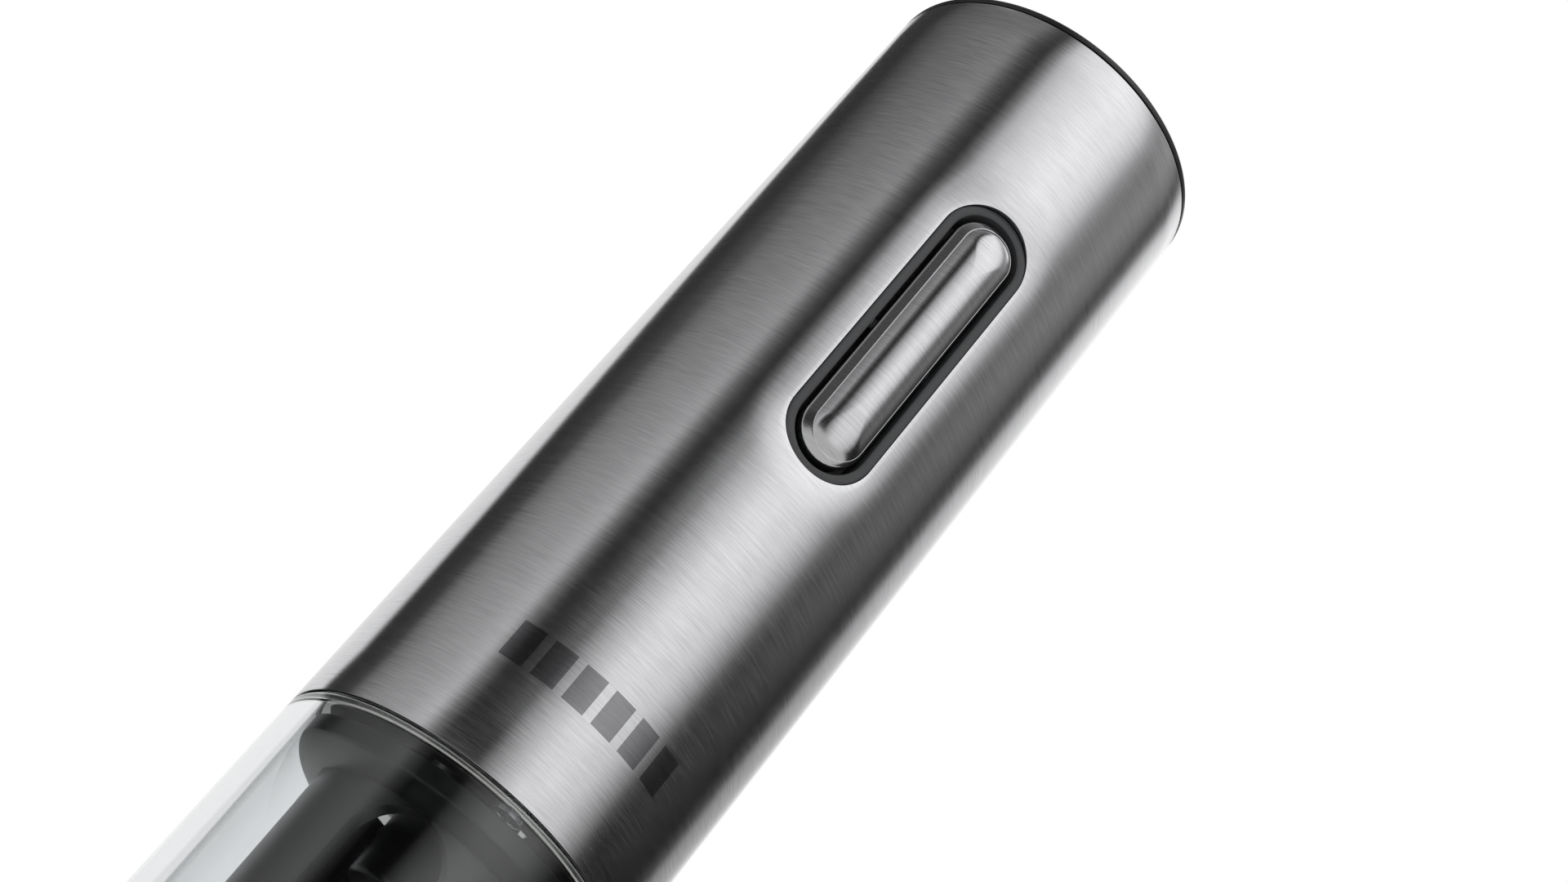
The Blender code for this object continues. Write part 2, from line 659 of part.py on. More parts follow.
def worm_bush():
    bore = OUTPUT_SHAFT_R + GAP
    return turned("worm_bush", tube(bore, bore + BUSH_WALL, PLATE_Z0 - BUSH_PROUD, PLATE_Z1),
                  material("bush_bronze", (0.55, 0.36, 0.18), 0.4, 1.0), sides=24)


def gearbox_housing():
    """A ring gear tube with a screw flange at its lower end; the motor's face closes its upper end."""
    ring_hole = gear_outline(RING_TEETH, internal=True, phase=math.pi / RING_TEETH)
    flange_top = GEARBOX_Z0 + GEARBOX_FLANGE_H
    look = material("gearbox_plastic", (0.10, 0.10, 0.11), 0.5)
    housing = prism("gearbox_housing", circle(GEARBOX_R, ROUND), GEARBOX_Z0 + 0.2, GEARBOX_Z1, look,
                    holes=[ring_hole])
    holes = [circle(SCREW_R + GAP, SMALL, place) for place in screw_places()]
    holes.append(circle(GEARBOX_R - RING_WALL / 2, MEDIUM, phase=0.05))
    join(housing, prism("flange", circle(CLEAR_R_IN - GAP, ROUND), GEARBOX_Z0, flange_top, holes=holes))
    return housing


def screw(name, x, y):
    head_low = PLATE_Z0 - SCREW_HEAD_H
    tip = GEARBOX_Z0 + GEARBOX_FLANGE_H - 0.8
    under_head = PLATE_Z0 - 0.05
    outline = [(0, head_low + SCREW_RECESS), (0.7, head_low + SCREW_RECESS),
               (0.9, head_low), (SCREW_HEAD_R - 0.3, head_low),
               (SCREW_HEAD_R, head_low + 0.3), (SCREW_HEAD_R, under_head), (SCREW_R, under_head),
               (SCREW_R, tip - SCREW_POINT), (SCREW_R - 0.5, tip), (0, tip)]
    return turned(name, outline, steel(name + "_steel"), sides=12, at=(x, y, 0))


def stage_floor(stage):
    """Height of a stage's carrier; stage 0 is the slow one next to the worm."""
    return STAGE_Z0 + STAGE_H * stage + GAP


def carrier(name, stage):
    """A plate with three planet pins above it; below it, the sun of the slower stage or the output shaft."""
    low = stage_floor(stage)
    plate_top = low + CARRIER_PLATE
    made = prism(name, circle(CARRIER_R, MEDIUM), low, plate_top, steel(name + "_steel"))
    for x, y in planet_centres():
        pin = rod(PLANET_PIN_R, plate_top - PIN_ROOT, plate_top + PLANET_FACE + PIN_PROUD)
        join(made, turned("pin", pin, sides=10, at=(x, y, 0)))
    if stage == 0:
        join(made, turned("shaft", rod(OUTPUT_SHAFT_R, CHUCK_Z1 + GAP, low + PIN_ROOT), sides=24))
    else:
        sun_low = low - STAGE_H + CARRIER_PLATE + 2 * GAP
        join(made, prism("sun", gear_outline(SUN_TEETH), sun_low, low + PIN_ROOT))
    return made


def planet_centres():
    for k in range(PLANETS):
        turn = 2 * math.pi * k / PLANETS
        yield (GEAR_CENTRES * math.cos(turn), GEAR_CENTRES * math.sin(turn))


def planet(name, stage, x, y):
    low = stage_floor(stage) + CARRIER_PLATE + GAP
    hole = circle(PLANET_PIN_R + GAP, 10)
    return prism(name, gear_outline(PLANET_TEETH), low, low + PLANET_FACE, white_plastic(name + "_acetal"),
                 holes=[hole], at=(x, y, 0))


# ---- motor ---------------------------------------------------------------------------------------------
def motor_rotor():
    """The armature on its shaft; the shaft's lower end carries the first sun pinion."""
    pinion_low = stage_floor(2) + CARRIER_PLATE + 2 * GAP
    pinion_high = GEARBOX_Z1 - PINION_GAP
    r = MOTOR_SHAFT_R
    core_low = MOTOR_Z0 + CORE_LOW_MARGIN
    core_high = BELL_Z0 - CORE_HIGH_MARGIN
    collector = core_high + COLLECTOR_LENGTH
    collector_r = r + COLLECTOR_WALL
    outline = [(0, pinion_high - 1), (r, pinion_high - 1), (r, core_low), (ARMATURE_R, core_low),
               (ARMATURE_R, core_high), (collector_r, core_high), (collector_r, collector), (r, collector),
               (r, BELL_Z1 - 1.5), (0, BELL_Z1 - 1.5)]
    rotor = turned("motor_rotor", outline, material("rotor_copper", (0.50, 0.26, 0.14), 0.4, 1.0), sides=20)
    join(rotor, prism("pinion", gear_outline(SUN_TEETH), pinion_low, pinion_high))
    return rotor


def motor_can():
    bearing = MOTOR_SHAFT_R + GAP
    floor = MOTOR_Z0 + CAN_FLOOR
    top = MOTOR_Z0 + MOTOR_LENGTH
    outline = [(bearing, MOTOR_Z0), (MOTOR_R, MOTOR_Z0), (MOTOR_R, top), (MOTOR_R - MOTOR_WALL, top),
               (MOTOR_R - MOTOR_WALL, floor), (bearing, floor)]
    return turned("motor_can", outline, material("motor_zinc", (0.5, 0.5, 0.5), 0.4, 1.0), sides=MEDIUM)


def motor_end_bell():
    bore = MOTOR_SHAFT_R + GAP
    r_out = MOTOR_R - BELL_INSET
    lug = MOTOR_R - MOTOR_WALL - GAP
    plug_z = BELL_Z0 - BELL_PLUG
    roof_z = BELL_Z1 - BELL_WALL
    outline = [(bore, BELL_Z0), (lug - BELL_WALL, BELL_Z0), (lug - BELL_WALL, plug_z), (lug, plug_z),
               (lug, BELL_Z0), (r_out, BELL_Z0), (r_out, BELL_Z1), (0, BELL_Z1), (0, roof_z), (bore, roof_z)]
    return turned("motor_end_bell", outline, black_plastic("end_bell_plastic"), sides=MEDIUM)


def motor_lead(name, side):
    """A short insulated wire from the motor's end to the back of the switch board."""
    x = side * LEAD_X
    board_back = BOARD_Y1 + GAP
    above = BELL_Z1 + GAP + LEAD_R
    span = board_back + LEAD_R
    points = [(x, -2, above), (x, -5, above + 0.2), (x, -8, above + 0.3), (x, span + 2.5, above + 0.2),
              (x, span + 1.0, above - 0.2), (x, board_back, above - 0.5)]
    data = bpy.data.curves.new(name, "CURVE")
    data.dimensions = "3D"
    data.bevel_depth = LEAD_R * MM
    data.bevel_resolution = 2
    data.use_fill_caps = True
    spline = data.splines.new("POLY")
    spline.points.add(len(points) - 1)
    for point, place in zip(spline.points, points):
        point.co = (*(Vector(place) * MM), 1.0)
    colour = (0.5, 0.03, 0.02) if side > 0 else (0.02, 0.02, 0.02)
    data.materials.append(material(name + "_insulation", colour, 0.5))
    made = bpy.data.objects.new(name, data)
    bpy.context.scene.collection.objects.link(made)
    return made


# ---- casing --------------------------------------------------------------------------------------------
def switch_hole(clearance, near):
    """A stadium cutter through the front wall, larger all round than the bezel."""
    outline = stadium(BEZEL_WIDTH + 2 * clearance, BEZEL_LENGTH + 2 * clearance)
    return prism("switch_hole", outline, -(BODY_R + 3), -near, along="Y", at=(0, 0, ROCKER_Z))


def body_sleeve():
    sleeve = turned("body_sleeve", tube(SLEEVE_R_IN, BODY_R, STEEL_Z0, STEEL_Z1), steel("sleeve_steel"))
    cut(sleeve, switch_hole(GAP, BODY_R / 2))
    return sleeve


def bayonet_slots():
    """Cutters for the two L-shaped slots: a level run as long as the twist, and an open entry at its end."""
    near = FRAME_R_IN - 1.5
    far = FRAME_R_OUT + 1.0
    for turn in LUG_ANGLES:
        start = turn - LUG_HALF_ANGLE - SLOT_MARGIN
        end = turn + CAP_TWIST + LUG_HALF_ANGLE + SLOT_MARGIN
        level = sector(near, far, start, end, 10)
        yield prism("level", level, LUG_Z0 - GAP, LUG_Z0 + LUG_H + GAP)
        entry_half = LUG_HALF_ANGLE + SLOT_MARGIN - 0.3
        entry = sector(near, far, turn + CAP_TWIST - entry_half, turn + CAP_TWIST + entry_half, 6)
        yield prism("entry", entry, LUG_Z0 + 0.5, FRAME_Z1 + 2)


def frame_half(name, back):
    """Half of the inner frame, with ribs that hold the gearbox and the motor."""
    lean = math.degrees(GAP / 2 / FRAME_R_OUT)
    start = lean if back else 180 + lean
    shell = sector(FRAME_R_IN, FRAME_R_OUT, start, start + 180 - 2 * lean, 23)
    frame = prism(name, shell, FRAME_Z0, FRAME_Z1, black_plastic(name + "_plastic"))
    gearbox_rib = (GEARBOX_R + GAP, GEARBOX_Z0 + GEARBOX_RIB_RISE)
    motor_rib = (MOTOR_R + GAP, MOTOR_Z0 + MOTOR_LENGTH / 3)
    for reach, low in (gearbox_rib, motor_rib):
        shelf = sector(reach, FRAME_R_IN + 0.6, start + lean, start + 180 - 3 * lean, 18)
        join(frame, prism("rib", shelf, low, low + FRAME_RIB_H))
    if not back:
        cut(frame, switch_hole(GAP, BODY_R / 2))
    for slot in bayonet_slots():
        cut(frame, slot)
    return frame


# ---- switch --------------------------------------------------------------------------------------------
BOARD_Y0 = TUB_FLOOR_Y + BOARD_BEHIND
BOARD_Y1 = BOARD_Y0 + BOARD_THICK
CARRIER_BACK_Y = PIVOT_Y - 0.2


def button_bezel():
    """A stadium tub with a flat face, level with the tube's surface along its sides."""
    bezel = prism("button_bezel", stadium(BEZEL_WIDTH, BEZEL_LENGTH), BEZEL_FACE_DEPTH - BODY_R, TUB_FLOOR_Y,
                  black_plastic("bezel_plastic"), along="Y", at=(0, 0, ROCKER_Z))
    well = stadium(BEZEL_WIDTH - 2 * BEZEL_RING, BEZEL_LENGTH - 2 * BEZEL_RING)
    floor_front = TUB_FLOOR_Y - BEZEL_FLOOR
    cut(bezel, prism("well", well, -(BODY_R + 2), floor_front, along="Y", at=(0, 0, ROCKER_Z)))
    for side in (-1, 1):
        boss = circle(PLUNGER_R + GAP + BOSS_WALL, SMALL, (0, side * PLUNGER_REACH), phase=0.13)
        join(bezel, prism("boss", boss, floor_front - 0.7, floor_front + 0.4, along="Y", at=(0, 0, ROCKER_Z)))
        hole = circle(PLUNGER_R + GAP, SMALL, (0, side * PLUNGER_REACH))
        cut(bezel, prism("hole", hole, floor_front - 3, TUB_FLOOR_Y + 2, along="Y", at=(0, 0, ROCKER_Z)))
    pin_hole = rod(ROCKER_PIN_R + GAP, -BEZEL_WIDTH, BEZEL_WIDTH)
    cut(bezel, turned("pin_hole", pin_hole, sides=SMALL, along="X", at=(0, PIVOT_Y, ROCKER_Z)))
    return bezel


def rocker_cap():
    """The domed steel face of the rocker: rings of a stadium that shrink as they rise to the crown."""
    back = ROCKER_CAP_BACK - BODY_R
    rim_y = ROCKER_EDGE_DEPTH - BODY_R
    crown_y = -(BODY_R + ROCKER_PROUD)
    shape = bmesh.new()
    rings = []
    inner_steps = 5
    levels = [(0.0, back), (0.0, rim_y)]
    for k in range(1, inner_steps + 1):
        share = k / (inner_steps + 1)
        levels.append((share * ROCKER_WIDTH / 2, rim_y + (crown_y - rim_y) * math.sin(share * math.pi / 2)))
    for inset, y in levels:
        outline = stadium(ROCKER_WIDTH - 2 * inset, ROCKER_LENGTH - 2 * inset, 10)
        rings.append([shape.verts.new((x, y, z)) for x, z in outline])
    for lower, upper in zip(rings, rings[1:]):
        for k in range(len(lower)):
            n = (k + 1) % len(lower)
            shape.faces.new((lower[k], lower[n], upper[n], upper[k]))
    shape.faces.new(rings[0])
    shape.faces.new(rings[-1])
    bmesh.ops.translate(shape, vec=(0, -PIVOT_Y, 0), verts=shape.verts)
    return finish("rocker_cap", shape, steel("rocker_steel"), (0, PIVOT_Y, ROCKER_Z))


def rocker_carrier():
    """The plastic slab under the steel face, with the lug that the pin runs through."""
    front = ROCKER_CAP_BACK - BODY_R + GAP
    outline = stadium(ROCKER_WIDTH - 2 * CARRIER_INSET, ROCKER_LENGTH - 2 * CARRIER_INSET)
    made = prism("rocker_carrier", outline, front - PIVOT_Y, CARRIER_BACK_Y - PIVOT_Y,
                 black_plastic("rocker_carrier_plastic"), along="Y", at=(0, PIVOT_Y, ROCKER_Z))
    lug = rectangle(-LUG_FRONT, LUG_BACK, -LUG_HALF_HEIGHT, LUG_HALF_HEIGHT)
    join(made, prism("lug", lug, -LUG_HALF_WIDTH, LUG_HALF_WIDTH, along="X", at=(0, PIVOT_Y, ROCKER_Z)))
    hole = rod(ROCKER_PIN_R + GAP, -ROCKER_WIDTH, ROCKER_WIDTH)
    cut(made, turned("hole", hole, sides=SMALL, along="X", at=(0, PIVOT_Y, ROCKER_Z)))
    return made


def rocker_pin():
    half = BEZEL_WIDTH / 2 - 0.5
    return turned("rocker_pin", rod(ROCKER_PIN_R, -half, half), steel("rocker_pin_steel"), sides=SMALL,
                  along="X", at=(0, PIVOT_Y, ROCKER_Z))


def plunger(name, side):
    """The small pin between the rocker and its switch."""
    z = ROCKER_Z + side * PLUNGER_REACH
    front = CARRIER_BACK_Y + GAP
    tip = TUB_FLOOR_Y - 0.5
    outline = circle(PLUNGER_R, SMALL)
    return prism(name, outline, front, tip, white_plastic(name + "_acetal"), along="Y", at=(0, 0, z))


def switch_board():
    outline = rectangle(-BOARD_WIDTH / 2, BOARD_WIDTH / 2, -BOARD_LENGTH / 2, BOARD_LENGTH / 2)
    return prism("switch_board", outline, BOARD_Y0, BOARD_Y1, material("board_green", (0.02, 0.14, 0.05), 0.4),
                 along="Y", at=(0, 0, ROCKER_Z))


def micro_switch(name, side):
    z = ROCKER_Z + side * PLUNGER_REACH
    body = rectangle(-SWITCH_HALF, SWITCH_HALF, -SWITCH_HALF, SWITCH_HALF)
    front = TUB_FLOOR_Y + 0.5
    return prism(name, body, front, BOARD_Y0 - GAP, black_plastic(name + "_plastic"), along="Y", at=(0, 0, z))


# ---- battery -------------------------------------------------------------------------------------------
CELL_OFFSET = CELL_PITCH / 2
SKIRT_R_OUT = FRAME_R_IN - GAP
SKIRT_R_IN = SKIRT_R_OUT - CAP_SKIRT_WALL


def battery_cradle():
    """A floor with a cross-shaped divider that keeps the four cells apart."""
    cradle = prism("battery_cradle", circle(FRAME_R_IN - GAP, ROUND), CRADLE_Z0, CRADLE_Z1,
                   black_plastic("cradle_plastic"))
    board_room = rectangle(-BEZEL_WIDTH / 2 - 1, BEZEL_WIDTH / 2 + 1, -BODY_R - 1, BOARD_Y1 + GAP)
    cut(cradle, prism("board_room", board_room, CRADLE_Z0 - 2, CRADLE_Z1 + 2))
    reach = CELL_OFFSET + CELL_R - 1.5
    top = CELL_Z1 - 2
    half = DIVIDER / 2
    cross = [(half, half), (half, reach), (-half, reach), (-half, half), (-reach, half), (-reach, -half),
             (-half, -half), (-half, -reach), (half, -reach), (half, -half), (reach, -half), (reach, half)]
    join(cradle, prism("cross", cross, CRADLE_Z0 + 0.5, top))
    notch = rectangle(-2, 2, 2, reach + 2)
    cut(cradle, prism("bridge_notch", notch, CRADLE_Z1 - 0.2, CRADLE_Z1 + CONTACT_H + 2 * GAP))
    return cradle


def cell(name, x, y, nub_up):
    r = CELL_R
    nub = CELL_LENGTH - CELL_NUB_H
    outline = [(0, 0), (r, 0), (r, nub), (CELL_NUB_R, nub), (CELL_NUB_R, CELL_LENGTH), (0, CELL_LENGTH)]
    made = turned(name, outline, material(name + "_label", (0.06, 0.07, 0.09), 0.4), sides=20,
                  at=(x, y, CELL_Z0 if nub_up else CELL_Z1))
    if not nub_up:
        made.rotation_euler = (math.pi, 0, 0)
    return made


def contact(name, x0, x1, y0, y1, low):
    return prism(name, rectangle(x0, x1, y0, y1), low, low + CONTACT_H, brass(name + "_nickel"))


def contacts():
    half = CONTACT_HALF
    a = CELL_OFFSET
    low = CRADLE_Z1 + GAP
    return [contact("terminal_positive", -a - half, -a + half, -a - half, -a + half, low),
            contact("terminal_negative", a - half, a + half, -a - half, -a + half, low),
            contact("lower_bridge", -a - half, a + half, a - half, a + half, low),
            contact("upper_bridge_left", -a - half, -a + half, -a - half, a + half, TOP_CONTACT_Z),
            contact("upper_bridge_right", a - half, a + half, -a - half, a + half, TOP_CONTACT_Z)]


def contact_carrier():
    outer = circle(SKIRT_R_IN - 0.4, MEDIUM)
    return prism("contact_carrier", outer, CARRIER_Z0, CARRIER_Z0 + CARRIER_H,
                 white_plastic("contact_carrier_abs"), holes=[circle(CONTACT_HOLE_R, SMALL)])


def top_cap():
    """A twist-off cap: a rim on the tube's end, a skirt inside the frame and two bayonet lugs."""
    plug = FRAME_R_OUT
    dish = BODY_R - CAP_DISH_RIM
    dish_z = TOP_Z - CAP_DISH
    skirt_low = CAP_Z0 - CAP_SKIRT_H
    outline = [(0, CAP_Z0), (SKIRT_R_IN, CAP_Z0), (SKIRT_R_IN, skirt_low), (SKIRT_R_OUT, skirt_low),
               (SKIRT_R_OUT, CAP_Z0), (plug, CAP_Z0), (plug, RIM_Z), (BODY_R, RIM_Z), (BODY_R, TOP_Z),
               (dish, TOP_Z), (dish, dish_z), (0, dish_z)]
    cap = turned("top_cap", outline, black_plastic("cap_plastic"))
    for turn in LUG_ANGLES:
        lug = sector(SKIRT_R_OUT - 0.8, FRAME_R_OUT - 0.5, turn - LUG_HALF_ANGLE, turn + LUG_HALF_ANGLE, 4)
        join(cap, prism("lug", lug, LUG_Z0, LUG_Z0 + LUG_H))
    for side in (-1, 1):
        grip = sector(GRIP_R_IN, GRIP_R_OUT, side * 90 - GRIP_HALF_ANGLE, side * 90 + GRIP_HALF_ANGLE, 12)
        cut(cap, prism("grip", grip, TOP_Z - GRIP_DEPTH, TOP_Z + 2))
    return cap


# ---- assembly ------------------------------------------------------------------------------------------
foil_ring()
jaw("jaw_right", 1)
jaw("jaw_left", -1)
for number, (x, y) in enumerate([*wheel_places(1), *wheel_places(-1)], start=1):
    wheel(f"cutting_wheel_{number}", x, y)
jaw_spring()

clear_shell()
cork_guide()
worm_guide()
worm()
worm_chuck()

front_plate()
worm_bush()
gearbox_housing()
for number, (x, y) in enumerate(screw_places(), start=1):
    screw(f"gearbox_screw_{number}", x, y)
for stage, label in enumerate(("output", "middle", "input")):
    carrier(f"{label}_carrier", stage)
    for number, (x, y) in enumerate(planet_centres(), start=1):
        planet(f"{label}_planet_{number}", stage, x, y)

motor_rotor()
motor_can()
motor_end_bell()
motor_lead("motor_lead_positive", 1)
motor_lead("motor_lead_negative", -1)

body_sleeve()
frame_half("frame_front", back=False)
frame_half("frame_rear", back=True)

button_bezel()
rocker_pivot = pivot("rocker_pivot", (0, PIVOT_Y, ROCKER_Z))
carry(rocker_pivot, rocker_cap(), rocker_carrier())
rocker_pin()
plunger("plunger_upper", 1)
plunger("plunger_lower", -1)
switch_board()
micro_switch("micro_switch_upper", 1)
micro_switch("micro_switch_lower", -1)

battery_cradle()
cell("cell_1", -CELL_OFFSET, -CELL_OFFSET, nub_up=True)
cell("cell_2", -CELL_OFFSET, CELL_OFFSET, nub_up=False)
cell("cell_3", CELL_OFFSET, CELL_OFFSET, nub_up=True)
cell("cell_4", CELL_OFFSET, -CELL_OFFSET, nub_up=False)
contacts()
contact_carrier()
top_cap()
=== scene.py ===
"""Electric wine opener: the finished surfaces and materials, made round the CAD frame.

Sizes are in millimetres and angles in degrees unless a name says otherwise; meshes are written in metres.
"""

import math

import bmesh
import bpy
import numpy as np
from mathutils import Matrix, Vector
from mathutils.geometry import tessellate_polygon


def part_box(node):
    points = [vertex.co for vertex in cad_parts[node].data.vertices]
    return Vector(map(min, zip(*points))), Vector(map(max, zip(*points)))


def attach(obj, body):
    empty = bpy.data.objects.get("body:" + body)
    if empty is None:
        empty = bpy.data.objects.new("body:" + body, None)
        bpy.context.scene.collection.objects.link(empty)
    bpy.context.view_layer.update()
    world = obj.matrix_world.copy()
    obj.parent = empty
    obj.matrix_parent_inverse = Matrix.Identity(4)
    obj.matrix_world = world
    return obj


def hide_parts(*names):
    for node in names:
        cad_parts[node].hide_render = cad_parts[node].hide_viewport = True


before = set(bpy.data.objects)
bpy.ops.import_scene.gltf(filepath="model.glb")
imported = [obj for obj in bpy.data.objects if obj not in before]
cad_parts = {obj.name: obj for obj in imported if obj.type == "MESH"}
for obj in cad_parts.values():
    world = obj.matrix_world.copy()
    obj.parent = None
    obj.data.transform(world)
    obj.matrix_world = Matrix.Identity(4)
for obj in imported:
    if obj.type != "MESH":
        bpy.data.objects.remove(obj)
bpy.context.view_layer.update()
MM = 0.001
scene = bpy.context.scene


# ---- camera --------------------------------------------------------------------------------------------
# The opener is seen from low in front of it, so that its tube runs up to the right across the frame. The lens
# is a short telephoto, and the steel tube with its rocker button fills the view.
CAMERA_PLACE = Vector((-0.06126, -0.31969, 0.00364))
CAMERA_AHEAD = Vector((0.16475, 0.85389, 0.49369))
CAMERA_RIGHT = Vector((0.69088, -0.45718, 0.56010))
CAMERA_AZIMUTH = math.degrees(math.atan2(CAMERA_PLACE.y, CAMERA_PLACE.x))
SENSOR_WIDTH = 36.0
FOCAL_LENGTH = 63.93

lens = bpy.data.cameras.new("camera")
lens.sensor_width = SENSOR_WIDTH
lens.lens = FOCAL_LENGTH
lens.clip_start = 0.01
camera = bpy.data.objects.new("camera", lens)
camera_up = CAMERA_RIGHT.cross(CAMERA_AHEAD)
turn = Matrix((CAMERA_RIGHT, camera_up, -CAMERA_AHEAD)).transposed().to_4x4()
camera.matrix_world = Matrix.Translation(CAMERA_PLACE) @ turn
scene.collection.objects.link(camera)
scene.camera = camera
scene.view_settings.view_transform = "Standard"


# ---- studio light --------------------------------------------------------------------------------------
# White softboxes and black flags stand all round the opener, out of the picture, and a large white sheet hangs
# over its back. They are the world's light: the brightness at each direction, by its angle from the camera's.
# The backdrop itself is plain white, also through the clear tube.
def add(tree, kind, inputs=None, **settings):
    """Adds a node, sets its properties, and gives each named input a constant or a link. A node given for an
    input is linked by its first output."""
    node = tree.nodes.new("ShaderNode" + kind)
    for name, value in settings.items():
        setattr(node, name, value)
    for socket, value in (inputs or {}).items():
        if isinstance(value, bpy.types.Node):
            value = value.outputs[0]
        if isinstance(value, bpy.types.NodeSocket):
            tree.links.new(value, node.inputs[socket])
        else:
            node.inputs[socket].default_value = value
    return node


# The walls' (angle from the camera's direction, brightness), as seen at a low and at a high elevation.
LOW_PANELS = [(-180, 0.05), (-115, 0.03), (-104, 0.05), (-97, 0.2), (-84, 0.34), (-63, 0.48), (-50, 0.65),
              (-43, 0.2), (-36, 0.02), (-13, 0.02), (-7, 0.28), (4, 0.68), (13, 0.98), (24, 1.04), (42, 0.82),
              (54, 0.4), (64, 0.06), (72, 0.01), (112, 0.01), (122, 0.06), (131, 0.36), (147, 0.5), (157, 0.7),
              (168, 1.1), (180, 1.35)]
HIGH_PANELS = [(-180, 0.05), (-125, 0.03), (-112, 0.11), (-95, 0.15), (-72, 0.18), (-50, 0.23), (-41, 0.08),
               (-31, 0.02), (-24, 0.3), (-17, 0.85), (-6, 1.1), (24, 1.35), (42, 1.25), (54, 0.95), (64, 0.45),
               (74, 0.3), (90, 0.38), (104, 0.26), (113, 0.08), (122, 0.15), (131, 0.85), (140, 1.05),
               (165, 1.3), (180, 1.4)]
BRIGHTEST = 2.2
LOW_LIGHT = 24.0            # elevations of the two bands' middles
HIGH_LIGHT = 39.0
STRIP_EDGE = -126.5         # a strip light on the left leans: its edge's angle at the low band
STRIP_LEAN = -33.5          # and how much that angle changes up to the high band
STRIP_FADE_FROM = 2.0       # the edge fades between these angles from it
STRIP_FADE_TO = -3.0
STRIP_BRIGHTNESS = 0.9
SHEET_FROM = 58.0           # elevation of the overhead sheet's edge
SHEET_FADE = 6.0
SHEET = [(-180, 1), (-120, 1), (-80, 0), (80, 0), (120, 1), (180, 1)]

world = bpy.data.worlds.new("studio")
world.use_nodes = True
scene.world = world
tree = world.node_tree
tree.nodes.clear()
direction = add(tree, "SeparateXYZ", {0: add(tree, "TexCoord").outputs["Generated"]})
azimuth = add(tree, "Math", {0: direction.outputs["Y"], 1: direction.outputs["X"]}, operation="ARCTAN2")
turns = add(tree, "Math", {0: azimuth, 1: 1 / (2 * math.pi), 2: 1.5 - CAMERA_AZIMUTH / 360},
            operation="MULTIPLY_ADD")
around = add(tree, "Math", {0: turns}, operation="FRACT")
low, high, sheet = (add(tree, "ValToRGB", {0: around}) for _ in range(3))
for band, stops, brightest in ((low, LOW_PANELS, BRIGHTEST), (high, HIGH_PANELS, BRIGHTEST), (sheet, SHEET, 1.0)):
    elements = band.color_ramp.elements
    while len(elements) < len(stops):
        elements.new(1.0)
    for element, (angle, grey) in zip(elements, stops):
        element.position = 0.5 + angle / 360
        element.color = (grey / brightest,) * 3 + (1.0,)

# A direction's Z is the sine of its elevation. Each climb goes from 0 at one elevation to 1 at another.
climbs = [(LOW_LIGHT, HIGH_LIGHT, "LINEAR"), (SHEET_FROM - SHEET_FADE, SHEET_FROM + SHEET_FADE, "SMOOTHSTEP")]
height, overhead = (add(tree, "MapRange", {"Value": direction.outputs["Z"],
                                           "From Min": math.sin(math.radians(start)),
                                           "From Max": math.sin(math.radians(end))}, interpolation_type=shape)
                    for start, end, shape in climbs)
walls = add(tree, "Mix", {0: height, 6: low, 7: high}, data_type="RGBA").outputs[2]
leaned = add(tree, "Math", {0: height, 1: -STRIP_LEAN / 360, 2: around}, operation="MULTIPLY_ADD")
strip = add(tree, "MapRange", {"Value": leaned, "From Min": 0.5 + (STRIP_EDGE + STRIP_FADE_FROM) / 360,
                               "From Max": 0.5 + (STRIP_EDGE + STRIP_FADE_TO) / 360})
walls = add(tree, "Mix", {0: strip, 6: walls, 7: (STRIP_BRIGHTNESS / BRIGHTEST,) * 3 + (1.0,)},
            data_type="RGBA").outputs[2]
overhead = add(tree, "Math", {0: overhead, 1: sheet}, operation="MULTIPLY")
lit = add(tree, "Mix", {0: overhead, 6: walls, 7: (1.0,) * 4}, data_type="RGBA").outputs[2]
path = add(tree, "LightPath")
reflected = add(tree, "Math", {0: path.outputs["Diffuse Depth"], 1: path.outputs["Glossy Depth"]}, operation="ADD")
seen = add(tree, "Math", {0: reflected, 1: 0.5}, operation="LESS_THAN")
light = add(tree, "Background", {"Color": lit, "Strength": BRIGHTEST})
backdrop = add(tree, "Background", {"Color": (1.0,) * 4, "Strength": 1.0})
add(tree, "OutputWorld", {0: add(tree, "MixShader", {0: seen, 1: light, 2: backdrop})})


# ---- floor ---------------------------------------------------------------------------------------------
# A plain pale sheet that the opener stands on.
def hex_colour(code):
    """An sRGB hex code as linear red, green, blue and a full alpha."""
    shares = [int(code[k:k + 2], 16) / 255 for k in (1, 3, 5)]
    return (*(s / 12.92 if s <= 0.04045 else ((s + 0.055) / 1.055) ** 2.4 for s in shares), 1.0)


def new_material(name):
    """An empty material; returns it, its tree, and the place on the object in metres, for its patterns."""
    made = bpy.data.materials.new(name)
    made.use_nodes = True
    made.node_tree.nodes.clear()
    return made, made.node_tree, add(made.node_tree, "TexCoord").outputs["Object"]


FLOOR_HALF = 900.0
FLOOR_GAP = 0.2             # keeps the sheet's face clear of the opener's foot
floor_mesh = bpy.data.meshes.new("floor")
floor_mesh.from_pydata([(x * FLOOR_HALF * MM, y * FLOOR_HALF * MM, -FLOOR_GAP * MM)
                        for x, y in ((-1, -1), (1, -1), (1, 1), (-1, 1))], [], [(0, 1, 2, 3)])
floor = bpy.data.objects.new("floor", floor_mesh)
scene.collection.objects.link(floor)
floor_paper, tree, _ = new_material("matt_paper")
shader = add(tree, "BsdfPrincipled", {"Base Color": hex_colour("#f2f2f0"), "Roughness": 0.8})
add(tree, "OutputMaterial", {0: shader})
floor_mesh.materials.append(floor_paper)


